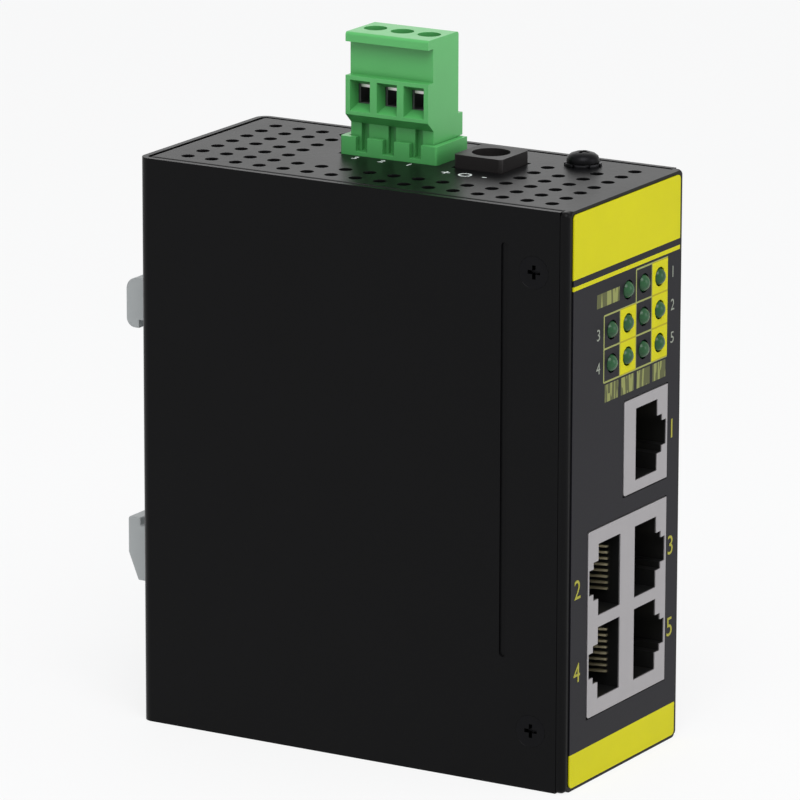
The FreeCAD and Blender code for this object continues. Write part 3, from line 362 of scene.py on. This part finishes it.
def turned(bm, profile, centre, axis, steps):
    """A round body from (radius, height) points, turned about an axis through a point."""
    turn = axis.to_track_quat("Z", "Y").to_matrix().to_4x4()
    verts = [bm.verts.new((radius, 0.0, height)) for radius, height in profile]
    edges = [bm.edges.new(pair) for pair in zip(verts, verts[1:])]
    made = bmesh.ops.spin(bm, geom=verts + edges, cent=(0, 0, 0), axis=(0, 0, 1), angle=2 * math.pi,
                          steps=steps, use_merge=True)
    whole = {v for v in verts if v.is_valid}
    whole.update(g for g in made["geom_last"] if isinstance(g, bmesh.types.BMVert))
    reach = list(whole)
    while reach:
        for edge in reach.pop().link_edges:
            for vert in edge.verts:
                if vert not in whole:
                    whole.add(vert)
                    reach.append(vert)
    bmesh.ops.remove_doubles(bm, verts=list(whole), dist=SAME_POINT)
    whole = [v for v in whole if v.is_valid]
    bmesh.ops.transform(bm, matrix=Matrix.Translation(centre) @ turn, verts=whole)
    bmesh.ops.recalc_face_normals(bm, faces=list({f for v in whole for f in v.link_faces}))


def cross_cutter(centre, axis, span, width, depth):
    """Tapered cross that a driver recess is cut with, its middle on a plane through the centre."""
    taper = 0.62
    a, b = span / 2, width / 2
    outline = [(a, -b), (a, b), (b, b), (b, a), (-b, a), (-b, b), (-a, b), (-a, -b), (-b, -b), (-b, -a),
               (b, -a), (b, -b)]
    bm = bmesh.new()
    mouth = bm.faces.new([bm.verts.new((x, y, depth)) for x, y in outline])
    pushed = bmesh.ops.extrude_face_region(bm, geom=[mouth])["geom"]
    deep = [g for g in pushed if isinstance(g, bmesh.types.BMVert)]
    bmesh.ops.translate(bm, vec=(0, 0, -2 * depth), verts=deep)
    bmesh.ops.scale(bm, vec=(taper, taper, 1.0), verts=deep)
    bmesh.ops.recalc_face_normals(bm, faces=bm.faces)
    place = Matrix.Translation(centre) @ axis.to_track_quat("Z", "Y").to_matrix().to_4x4()
    bmesh.ops.transform(bm, matrix=place, verts=bm.verts)
    mesh = bpy.data.meshes.new("cutter")
    bm.to_mesh(mesh)
    bm.free()
    made = bpy.data.objects.new("cutter", mesh)
    bpy.context.scene.collection.objects.link(made)
    return made


def cut_away(piece, cutters):
    """Cut shapes out of a piece for good, and clear the cutters away."""
    for cutter in cutters:
        step = piece.modifiers.new("recess", "BOOLEAN")
        step.operation = "DIFFERENCE"
        step.object = cutter
        step.solver = "EXACT"
    bpy.context.view_layer.update()
    shape = piece.evaluated_get(bpy.context.evaluated_depsgraph_get())
    mesh = bpy.data.meshes.new_from_object(shape)
    piece.modifiers.clear()
    piece.data = mesh
    mesh.polygons.foreach_set("use_smooth", [True] * len(mesh.polygons))
    mesh.set_sharp_from_angle(angle=SHARP_ANGLE)
    for cutter in cutters:
        bpy.data.objects.remove(cutter)


def lettering(name, text, size, centre, material, facing):
    """A plain numeral or sign as a thin printed plate, centred on a place."""
    curve = bpy.data.curves.new(name, "FONT")
    curve.body = text
    curve.size = size
    curve.align_x = "CENTER"
    curve.align_y = "CENTER"
    curve.resolution_u = 3
    draft = bpy.data.objects.new(name, curve)
    bpy.context.scene.collection.objects.link(draft)
    bpy.context.view_layer.update()
    shape = draft.evaluated_get(bpy.context.evaluated_depsgraph_get())
    mesh = bpy.data.meshes.new_from_object(shape)
    bpy.data.objects.remove(draft)
    bm = bmesh.new()
    bm.from_mesh(mesh)
    bpy.data.meshes.remove(mesh)
    for side in range(3):
        low = min(v.co[side] for v in bm.verts)
        high = max(v.co[side] for v in bm.verts)
        for vert in bm.verts:
            vert.co[side] -= (low + high) / 2
    bmesh.ops.remove_doubles(bm, verts=bm.verts, dist=SAME_POINT)
    raised = bmesh.ops.extrude_face_region(bm, geom=bm.faces[:])["geom"]
    tops = [g for g in raised if isinstance(g, bmesh.types.BMVert)]
    bmesh.ops.translate(bm, vec=(0, 0, PRINT_THICKNESS), verts=tops)
    bmesh.ops.transform(bm, matrix=Matrix.Translation(centre) @ facing.to_4x4(), verts=bm.verts)
    bmesh.ops.recalc_face_normals(bm, faces=bm.faces)
    add_object(name, bm, material, "root")


FACING_FRONT = Matrix(((1, 0, 0), (0, 0, -1), (0, 1, 0)))
FACING_UP_SIDEWAYS = Matrix(((0, 1, 0), (-1, 0, 0), (0, 0, 1)))


# ---- settings -----------------------------------------------------------------------------
def colour(name, text, shade):
    return FloatVectorProperty(name=name, description=text, subtype="COLOR", size=3, min=0.0, max=1.0,
                               default=shade)


def length(name, text, metres):
    return FloatProperty(name=name, description=text, default=metres, min=0.0, unit="LENGTH",
                         precision=5)


def power(name, text, watts):
    return FloatProperty(name=name, description=text, subtype="POWER", default=watts)


def bearing(name, text, degrees):
    return FloatProperty(name=name, description=text, subtype="ANGLE", default=math.radians(degrees))


class RAILSWITCH_PG_finish(bpy.types.PropertyGroup):
    """Colours of the painted, printed, plated and moulded surfaces."""

    case: colour("Case", "Powder coat of the folded case", (0.0034, 0.0034, 0.0038))
    film: colour("Film", "Ground colour of the front film", (0.0078, 0.0073, 0.0106))
    band: colour("Band", "Yellow printed on the front film", (0.6, 0.56, 0.002))
    outline: colour("Outline", "Thin printed outlines and captions", (0.3, 0.32, 0.1))
    mark: colour("Mark", "Pale numerals beside the lamps", (0.25, 0.27, 0.22))
    silkscreen: colour("Silkscreen", "White marks on the case's top", (0.75, 0.8, 0.78))
    shield: colour("Shield", "Tinned sheet round the sockets", (0.4, 0.385, 0.395))
    socket: colour("Socket", "Moulding inside the sockets", (0.006, 0.006, 0.006))
    contact: colour("Contact", "Gilded contact wires", (0.9, 0.8, 0.52))
    terminal: colour("Terminal", "Green of the supply terminal", (0.1, 0.47, 0.13))
    lamp: colour("Lamp", "Tinted resin of the unlit lamps", (0.018, 0.085, 0.03))
    clip: colour("Clip", "Moulding of the rail clip", (0.42, 0.44, 0.44))
    board: colour("Board", "Lacquer of the circuit board", (0.012, 0.09, 0.03))
    dark_screw: colour("Dark screw", "Black oxide of the case's screws", (0.012, 0.012, 0.013))
    bright_screw: colour("Bright screw", "Zinc plate of the inner screws", (0.6, 0.6, 0.62))


class RAILSWITCH_PG_print(bpy.types.PropertyGroup):
    """Sizes of what is printed on the front film and the case's top."""

    top_band: length("Top band", "Height of the yellow band at the top", 0.0106)
    band_gap: length("Band gap", "Dark line under the top band", 0.0011)
    band_line: length("Band line", "Thin yellow line under the dark one", 0.0007)
    bottom_band: length("Bottom band", "Height of the yellow band at the bottom", 0.0056)
    line: length("Line", "Width of the outlines round the lamps", 0.0003)
    caption: length("Caption", "Height of the row of captions under the lamps", 0.0029)
    numeral: length("Numeral", "Height of the numerals beside the sockets", 0.0046)
    small_numeral: length("Small numeral", "Height of the numerals beside the lamps", 0.0027)
    port_pitch: length("Port pitch", "Distance between neighbouring sockets", 0.01397)
    edge: length("Edge", "From the film's side to the middle of a numeral", 0.0021)
    word_gap: length("Word gap", "From a lamp cell's side to its caption", 0.00045)
    left_gap: length("Left gap", "From the lamp cells to the numerals on their left", 0.0019)
    right_gap: length("Right gap", "From the lamp cells to the numerals on their right", 0.0017)
    side_word: length("Side word", "Reach of the caption beside the single lamp, past the cells", 0.0024)
    side_word_half: length("Side word half", "Half the height of that caption", 0.00115)
    pole_gap: length("Pole gap", "From the terminal to the pole numerals", 0.0019)
    pole_numeral: length("Pole numeral", "Height of the pole numerals", 0.0022)
    sign: length("Sign", "Height of the polarity signs", 0.0032)
    sign_gap: length("Sign gap", "From the power socket to the polarity signs", 0.0040)
    sign_pitch: length("Sign pitch", "Between neighbouring polarity signs", 0.0036)


class RAILSWITCH_PG_parts(bpy.types.PropertyGroup):
    """Sizes of the small parts that are modelled here."""

    ease: length("Ease", "Rounding of moulded edges", 0.00022)
    press_ease: length("Press ease", "Rounding of the sheet's punched and folded edges", 0.00016)
    recess: length("Recess", "Length of a cross recess", 0.0029)
    recess_arm: length("Recess arm", "Width of a cross recess's arm", 0.0008)
    recess_depth: length("Recess depth", "Depth of a cross recess", 0.0009)
    round_steps: IntProperty(name="Round steps", description="Facets round a turned part",
                             default=36, min=12)
    dome_steps: IntProperty(name="Dome steps", description="Facets from a lamp's rim to its tip",
                            default=12, min=4)


class RAILSWITCH_PG_stage(bpy.types.PropertyGroup):
    """Camera, floor and lights."""

    azimuth: bearing("Azimuth", "Camera's direction round the switch, 0 in front", -59.44)
    elevation: bearing("Elevation", "Camera's height as an angle", 14.4)
    roll: bearing("Roll", "Camera's tilt about its own axis", 0.143)
    distance: length("Distance", "From the camera to its target", 1.093)
    lens: FloatProperty(name="Lens", description="Focal length in millimetres", default=306.7, min=20.0)
    target: FloatVectorProperty(name="Target", description="Point that the camera looks at", size=3,
                                subtype="XYZ", unit="LENGTH", default=(-0.0225, -0.0115, 0.0626))
    key: power("Key", "Power of the large lamp above", 7.0)
    fill: power("Fill", "Power of the lamp in front", 2.2)
    sheen: power("Sheen", "Power of the lamp behind, which lights the top", 1.3)
    ambient: FloatProperty(name="Ambient", description="Strength of the even light", default=0.55,
                           min=0.0)


def settings():
    return bpy.context.scene.rail_switch_finish


# ---- operators ----------------------------------------------------------------------------
class RAILSWITCH_OT_case(bpy.types.Operator):
    """Paint the folded chassis and its cover"""

    bl_idname = "railswitch.case"
    bl_label = "Case"

    def execute(self, context):
        coat = powder_coat("case_powder_coat", settings().case)
        ease = context.scene.rail_switch_parts.press_ease / MM
        softened("chassis", ease, coat)
        softened("cover", ease, coat)
        return {"FINISHED"}


class RAILSWITCH_OT_film(bpy.types.Operator):
    """Print the front film: bands, lamp cells and captions"""

    bl_idname = "railswitch.film"
    bl_label = "Front film"

    def execute(self, context):
        paint_nodes(self.printed_film(), "front_label")
        self.numerals()
        return {"FINISHED"}

    @staticmethod
    def lamp_grid():
        """Column and row edges of the lamp cells, in millimetres."""
        boxes = islands("lamps")
        xs = sorted({round((low.x + high.x) / 2 / MM, 2) for low, high in boxes})
        zs = sorted({round((low.z + high.z) / 2 / MM, 2) for low, high in boxes})
        step_x, step_z = xs[1] - xs[0], zs[1] - zs[0]
        return ([x - step_x / 2 for x in xs] + [xs[-1] + step_x / 2],
                [z - step_z / 2 for z in zs] + [zs[-1] + step_z / 2])

    def printed_film(self):
        look, sizes = settings(), bpy.context.scene.rail_switch_print
        low, high = (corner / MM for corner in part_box("front_label"))
        paint = Paint("front_film_print")
        x, _, z = paint.axes()
        top = high.z - sizes.top_band / MM
        line_top = top - sizes.band_gap / MM
        bands = (z > top) + z.between(line_top - sizes.band_line / MM, line_top)
        bands = bands + (z < low.z + sizes.bottom_band / MM)
        cols, rows = self.lamp_grid()
        half = sizes.line / MM / 2
        yellow_cells = x.between(cols[1], cols[2]) * z.between(rows[0], rows[2])
        yellow_cells = yellow_cells + x.between(cols[3], cols[4]) * z.between(rows[0], rows[3])
        rules = [(abs(z - row) < half) * x.between(cols[0], cols[4]) for row in rows[:3]]
        rules += [(abs(z - rows[3]) < half) * x.between(cols[2], cols[4])]
        rules += [(abs(x - cols[0]) < half) * z.between(rows[0], rows[2])]
        rules += [(abs(x - col) < half) * z.between(rows[0], rows[row])
                  for col, row in zip(cols[1:4], (2, 3, 3))]
        outline = rules[0]
        for rule in rules[1:]:
            outline = outline + rule
        ink = (bands + yellow_cells).clamped()
        dark_rule = outline.clamped() * ink
        caption_top = rows[0] - half * 3
        caption = z.between(caption_top - sizes.caption / MM, caption_top)
        gap = sizes.word_gap / MM
        words = 0.0
        for left, right in zip(cols, cols[1:]):
            words = x.between(left + gap, right - gap) + words
        strokes = paint.noise(1500.0, 0.0, 0.5, (1.0, 0.0, 0.12)) > 0.5
        beside = x.between(cols[0] - sizes.side_word / MM, cols[1] - half * 2)
        beside = beside * (abs(z - (rows[2] + rows[3]) / 2) < sizes.side_word_half / MM)
        words = (words * caption + beside) * (strokes * 0.55 + 0.3)
        colour_now = paint.mix(words.clamped(), look.film, look.outline)
        colour_now = paint.mix(outline.clamped(), colour_now, look.outline)
        colour_now = paint.mix(ink, colour_now, varied(paint, look.band, 90.0, 0.05))
        colour_now = paint.mix(dark_rule * 0.55, colour_now, (0.25, 0.17, 0.01))
        grain = paint.noise(1800.0, 2.0)
        paint.bump(grain, 0.00002, 0.25)
        return paint.set(Base_Color=colour_now, Roughness=grain * 0.08 + ink * 0.06 + 0.34,
                         Specular_IOR_Level=0.1)

    def numerals(self):
        look, sizes = settings(), bpy.context.scene.rail_switch_print
        low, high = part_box("front_label")
        quad_low, quad_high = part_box("quad_shield")
        single_low, single_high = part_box("single_shield")
        middle = (quad_low.z + quad_high.z) / 2
        upper, lower = middle + sizes.port_pitch / 2, middle - sizes.port_pitch / 2
        left, right = low.x + sizes.edge, high.x - sizes.edge
        places = [(right, (single_low.z + single_high.z) / 2), (left, upper), (right, upper),
                  (left, lower), (right, lower)]
        ink = moulded("numeral_yellow", scaled(look.band, 0.55), 0.4, 0.1)
        pale = moulded("numeral_pale", look.mark, 0.4, 0.1)
        front = low.y - PRINT_LIFT
        for number, (x, z) in enumerate(places, 1):
            lettering("port_numeral_%d" % number, str(number), sizes.numeral, Vector((x, front, z)), ink,
                      FACING_FRONT)
        cols, rows = self.lamp_grid()
        rows_mid = [(a + b) / 2 for a, b in zip(rows, rows[1:])]
        left, right = cols[0] - sizes.left_gap / MM, cols[4] + sizes.right_gap / MM
        beside = [(1, right, rows_mid[2]), (2, right, rows_mid[1]), (3, left, rows_mid[1]),
                  (4, left, rows_mid[0]), (5, right, rows_mid[0])]
        for number, x, z in beside:
            lettering("lamp_numeral_%d" % number, str(number), sizes.small_numeral,
                      Vector((x * MM, front, z * MM)), pale, FACING_FRONT)


class RAILSWITCH_OT_screws(bpy.types.Operator):
    """Turn the visible screws, with their driver recesses, and the ground washer"""

    bl_idname = "railswitch.screws"
    bl_label = "Screws"

    @staticmethod
    def countersunk(node, side, material, scale):
        """Slightly dished heads that lie in their seats, facing out along one axis."""
        parts = bpy.context.scene.rail_switch_parts
        edge = 0.00014              # height of the head's straight edge
        bm = bmesh.new()
        cutters = []
        for low, high in islands(node):
            centre = (low + high) / 2
            outward = 1.0 if centre[side] > 0 else -1.0
            axis = (X, Y, Z)[side] * outward
            centre[side] = high[side] if outward > 0 else low[side]
            head = max(high[k] - low[k] for k in range(3) if k != side) / 2
            deep = high[side] - low[side]
            shank = head * 0.55
            dish = 0.00012 * scale
            profile = [(0.0, -dish), (head * 0.55, -dish * 0.8), (head * 0.9, 0.0),
                       (head * 0.985, -0.00004), (head, -edge), (shank, shank - head - edge),
                       (shank, -deep + 0.0002), (shank * 0.8, -deep), (0.0, -deep)]
            turned(bm, profile, centre, axis, parts.round_steps)
            cutters.append(cross_cutter(centre, axis, parts.recess * scale, parts.recess_arm * scale,
                                        parts.recess_depth))
        made = add_object(node + "_turned", bm, material, body_of(node), 30.0)
        cut_away(made, cutters)
        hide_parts(node)

    @staticmethod
    def ground(material):
        """Domed head and shank of the grounding screw."""
        parts = bpy.context.scene.rail_switch_parts
        low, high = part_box("ground_screw")
        centre = (low + high) / 2
        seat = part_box("ground_washer")[1].z
        centre.z = high.z
        head = (high.x - low.x) / 2
        wall = high.z - seat
        profile = [(0.0, 0.0), (head * 0.45, -wall * 0.05), (head * 0.75, -wall * 0.2),
                   (head * 0.93, -wall * 0.42), (head, -wall * 0.68), (head, -wall * 0.96),
                   (head * 0.97, -wall), (head * 0.54, -wall), (head * 0.54, low.z - high.z + 0.0002),
                   (head * 0.45, low.z - high.z), (0.0, low.z - high.z)]
        bm = bmesh.new()
        turned(bm, profile, centre, Z, parts.round_steps)
        cutter = cross_cutter(centre, Z, parts.recess, parts.recess_arm, parts.recess_depth)
        made = add_object("ground_screw_turned", bm, material, "root", 30.0)
        cut_away(made, [cutter])
        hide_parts("ground_screw")

    def execute(self, context):
        look = settings()
        dark = metal("black_oxide", look.dark_screw, 0.34, grain=0.3)
        bright = metal("zinc_plate", look.bright_screw, 0.26)
        self.countersunk("cover_screws", 0, dark, 1.0)
        self.countersunk("clip_screws", 1, bright, 0.8)
        self.ground(dark)
        softened("ground_washer", 0.06, metal("washer_plate", scaled(look.dark_screw, 3), 0.36))
        paint_nodes(bright, "ground_nut", "clip_nuts", "board_screws", "board_standoffs")
        return {"FINISHED"}


class RAILSWITCH_OT_lamps(bpy.types.Operator):
    """Cast the domed indicator lamps with their rims, and finish their holders and leads"""

    bl_idname = "railswitch.lamps"
    bl_label = "Lamps"

    def execute(self, context):
        look = settings()
        parts = bpy.context.scene.rail_switch_parts
        resin = lamp_resin("lamp_resin", look.lamp)
        bm = bmesh.new()
        for low, high in islands("lamps"):
            centre = (low + high) / 2
            centre.y = low.y
            radius = (high.x - low.x) / 2
            deep = high.y - low.y
            slopes = [math.pi / 2 * step / parts.dome_steps for step in range(parts.dome_steps + 1)]
            profile = [(radius * math.sin(a), -radius * (1 - math.cos(a))) for a in slopes]
            profile += [(radius, -deep), (0.0, -deep)]
            turned(bm, profile, centre, -Y, parts.round_steps)
        made = add_object("lamp_domes", bm, resin, "root", 60.0)
        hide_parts("lamps")
        black = moulded("lamp_holder_resin", (0.012, 0.012, 0.012), 0.4)
        paint_nodes(black, *("lamp_holder_%d" % number for number in (1, 2, 3)))
        paint_nodes(metal("tinned_wire", (0.62, 0.61, 0.58), 0.25), "lamp_leads")
        return {"FINISHED"}


class RAILSWITCH_OT_sockets(bpy.types.Operator):
    """Finish the network sockets: shields, mouldings and gilded contacts"""

    bl_idname = "railswitch.sockets"
    bl_label = "Network sockets"

    def execute(self, context):
        look = settings()
        tin = tinned_sheet("socket_tin_plate", look.shield)
        black = moulded("socket_resin", look.socket, 0.3, 0.2)
        gold = metal("contact_gilding", look.contact, 0.3)
        for which in ("quad", "single"):
            softened(which + "_shield", 0.08, tin)
            paint_nodes(black, which + "_socket_body")
            paint_nodes(gold, which + "_contacts")
        return {"FINISHED"}


class RAILSWITCH_OT_terminal(bpy.types.Operator):
    """Mould the supply terminal, and finish its screws, cages, busbars and pins"""

    bl_idname = "railswitch.terminal"
    bl_label = "Supply terminal"

    def execute(self, context):
        look = settings()
        ease = bpy.context.scene.rail_switch_parts.ease / MM
        # Painted shade darkens the terminal's colour in its hollows.
        green = moulded("terminal_resin", look.terminal, 0.3, 0.2, painted_hollow_shade=0.35)
        softened("terminal_plug", ease, green)
        softened("terminal_header", ease * 0.8, green)
        zinc = metal("clamp_plate", scaled(look.bright_screw, 0.3), 0.4)
        for number in POLES:
            paint_nodes(zinc, "clamp_screw_%d" % number, "clamp_cage_%d" % number)
        paint_nodes(metal("busbar_tin", (0.66, 0.65, 0.63), 0.24), "plug_contacts", "header_pins")
        self.silkscreen()
        return {"FINISHED"}

    @staticmethod
    def silkscreen():
        """White signs on the case's top: a pole number per clamp, and the power plug's polarity."""
        sizes = bpy.context.scene.rail_switch_print
        white = moulded("silkscreen_white", settings().silkscreen, 0.5, 0.1)
        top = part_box("cover")[1].z + PRINT_LIFT
        pole_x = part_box("terminal_header")[0].x - sizes.pole_gap
        for number in POLES:
            low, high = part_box("clamp_screw_%d" % number)
            lettering("pole_numeral_%d" % number, str(number), sizes.pole_numeral,
                      Vector((pole_x, (low.y + high.y) / 2, top)), white, FACING_UP_SIDEWAYS)
        low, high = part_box("power_socket")
        sign_x, middle = low.x - sizes.sign_gap, (low.y + high.y) / 2
        for name, text, side in (("minus", "-", -1), ("ring", "O", 0), ("plus", "+", 1)):
            lettering("polarity_" + name, text, sizes.sign,
                      Vector((sign_x, middle + side * sizes.sign_pitch, top)), white,
                      FACING_UP_SIDEWAYS)


class RAILSWITCH_OT_power_socket(bpy.types.Operator):
    """Mould the round power socket and finish its centre pin"""

    bl_idname = "railswitch.power_socket"
    bl_label = "Power socket"

    def execute(self, context):
        black = moulded("power_socket_resin", (0.011, 0.0095, 0.0095), 0.4, 0.3, gloss=0.25)
        softened("power_socket", 0.15, black)
        paint_nodes(metal("pin_plate", (0.7, 0.7, 0.68), 0.2), "power_pin", "power_legs")
        return {"FINISHED"}


class RAILSWITCH_OT_rail_clip(bpy.types.Operator):
    """Mould the rail clip's plate and latch, and finish its spring"""

    bl_idname = "railswitch.rail_clip"
    bl_label = "Rail clip"

    def execute(self, context):
        look = settings()
        grey = moulded("clip_resin", look.clip, 0.42, 0.35)
        softened("clip_base", 0.2, grey)
        softened("clip_latch", 0.2, grey)
        paint_nodes(metal("spring_wire", look.bright_screw, 0.2), "latch_spring")
        return {"FINISHED"}


class RAILSWITCH_OT_board(bpy.types.Operator):
    """Finish the circuit board and the parts on it"""

    bl_idname = "railswitch.board"
    bl_label = "Circuit board"

    def execute(self, context):
        paint_nodes(solder_resist("board_lacquer", settings().board), "main_board")
        package = moulded("package_resin", (0.014, 0.014, 0.015), 0.45, 0.5)
        paint_nodes(package, "switch_chip", "regulator", "supply_fuse", "input_diode")
        ferrite = moulded("transformer_resin", (0.02, 0.02, 0.021), 0.5, 0.6)
        transformers = ["port_transformer_%d" % number for number in range(1, 6)]
        paint_nodes(ferrite, "power_inductor", *transformers)
        can = metal("can_aluminium", (0.72, 0.72, 0.74), 0.24, (1.0, 1.0, 0.1))
        paint_nodes(can, "capacitor_1", "capacitor_2", "crystal")
        return {"FINISHED"}


class RAILSWITCH_OT_stage(bpy.types.Operator):
    """Set the floor, the lamps, the world and the camera"""

    bl_idname = "railswitch.stage"
    bl_label = "Stage"

    @staticmethod
    def floor():
        """A wide floor that looks white and still takes the switch's shadow."""
        bm = bmesh.new()
        bmesh.ops.create_grid(bm, x_segments=1, y_segments=1, size=6.0)
        mesh = bpy.data.meshes.new("studio_floor")
        bm.to_mesh(mesh)
        bm.free()
        paint = Paint("floor_white")
        paint.set(Base_Color=paint.mix(paint.noise(3.0), (0.86, 0.86, 0.86), (0.88, 0.88, 0.88)),
                  Roughness=0.9, Specular_IOR_Level=0.1)
        glow = paint.node("ShaderNodeEmission", {}, {"Strength": 1.0})
        blend = paint.node("ShaderNodeMixShader", {}, {0: paint.seen_directly() * 0.8,
                                                       1: paint.shader.outputs[0], 2: glow.outputs[0]})
        paint.feed(paint.output.inputs[0], blend.outputs[0])
        mesh.materials.append(paint.material)
        made = bpy.data.objects.new("studio_floor", mesh)
        bpy.context.scene.collection.objects.link(made)
        made.location.z = CAD_BOX[0][2]

    @staticmethod
    def world(strength):
        """Even light for the switch, and plain white where the camera looks past it."""
        world = bpy.data.worlds.new("studio_world")
        nodes = Nodes(world)
        even = nodes.node("ShaderNodeBackground", {}, {"Color": (0.95, 0.97, 1.0), "Strength": strength})
        white = nodes.node("ShaderNodeBackground", {}, {"Strength": 1.0})
        mix = nodes.node("ShaderNodeMixShader", {}, {0: nodes.seen_directly(), 1: even.outputs[0],
                                                     2: white.outputs[0]})
        nodes.node("ShaderNodeOutputWorld", {}, {0: mix.outputs[0]})
        bpy.context.scene.world = world

    @staticmethod
    def lamp(name, place, aim, size, watts):
        """A square lamp at a place, turned to the point that it lights."""
        light = bpy.data.lights.new(name, "AREA")
        light.shape = "SQUARE"
        light.size = size
        light.energy = watts
        made = bpy.data.objects.new(name, light)
        made.location = place
        made.rotation_euler = (Vector(aim) - Vector(place)).to_track_quat("-Z", "Y").to_euler()
        bpy.context.scene.collection.objects.link(made)

    @staticmethod
    def camera(stage):
        """The camera, from its two angles and its distance."""
        camera = bpy.data.cameras.new("main_camera")
        camera.lens = stage.lens
        camera.sensor_width = 36.0
        camera.clip_start = 0.05
        camera.clip_end = 30.0
        made = bpy.data.objects.new("main_camera", camera)
        flat = math.cos(stage.elevation)
        back = Vector((math.sin(stage.azimuth) * flat, -math.cos(stage.azimuth) * flat,
                       math.sin(stage.elevation)))
        made.location = Vector(stage.target) + back * stage.distance
        turn = (-back).to_track_quat("-Z", "Y").to_matrix() @ Matrix.Rotation(stage.roll, 3, "Z")
        made.rotation_euler = turn.to_euler()
        bpy.context.scene.collection.objects.link(made)
        bpy.context.scene.camera = made

    def execute(self, context):
        stage = context.scene.rail_switch_stage
        context.scene.view_settings.view_transform = "Standard"
        self.floor()
        self.world(stage.ambient)
        middle = (0.0, 0.0, CAD_BOX[1][2] / 2)
        self.lamp("key_above", (-0.5, -0.35, 0.95), middle, 0.7, stage.key)
        self.lamp("fill_front", (0.25, -1.0, 0.35), middle, 0.6, stage.fill)
        self.lamp("sheen_behind", (1.1, 0.62, 0.5), (0.0, 0.0, CAD_BOX[1][2]), 0.9, stage.sheen)
        self.camera(stage)
        return {"FINISHED"}


class RAILSWITCH_PT_panel(bpy.types.Panel):
    """Lists every step of the finish"""

    bl_idname = "RAILSWITCH_PT_panel"
    bl_label = "Rail switch"
    bl_space_type = "VIEW_3D"
    bl_region_type = "UI"
    bl_category = "Rail switch"

    def draw(self, context):
        for step in STEPS:
            self.layout.operator(step.bl_idname)


GROUPS = {"rail_switch_finish": RAILSWITCH_PG_finish, "rail_switch_print": RAILSWITCH_PG_print,
          "rail_switch_parts": RAILSWITCH_PG_parts, "rail_switch_stage": RAILSWITCH_PG_stage}
STEPS = (RAILSWITCH_OT_case, RAILSWITCH_OT_film, RAILSWITCH_OT_screws, RAILSWITCH_OT_lamps,
         RAILSWITCH_OT_sockets, RAILSWITCH_OT_terminal, RAILSWITCH_OT_power_socket,
         RAILSWITCH_OT_rail_clip, RAILSWITCH_OT_board, RAILSWITCH_OT_stage)


def register():
    for group in GROUPS.values():
        bpy.utils.register_class(group)
    for name, group in GROUPS.items():
        setattr(bpy.types.Scene, name, PointerProperty(type=group))
    for step in STEPS:
        bpy.utils.register_class(step)
    bpy.utils.register_class(RAILSWITCH_PT_panel)


def unregister():
    bpy.utils.unregister_class(RAILSWITCH_PT_panel)
    for step in reversed(STEPS):
        bpy.utils.unregister_class(step)
    for name, group in GROUPS.items():
        delattr(bpy.types.Scene, name)
        bpy.utils.unregister_class(group)


def main():
    register()
    for step in STEPS:
        family, action = step.bl_idname.split(".")
        getattr(getattr(bpy.ops, family), action)()


if __name__ == "__main__":
    main()
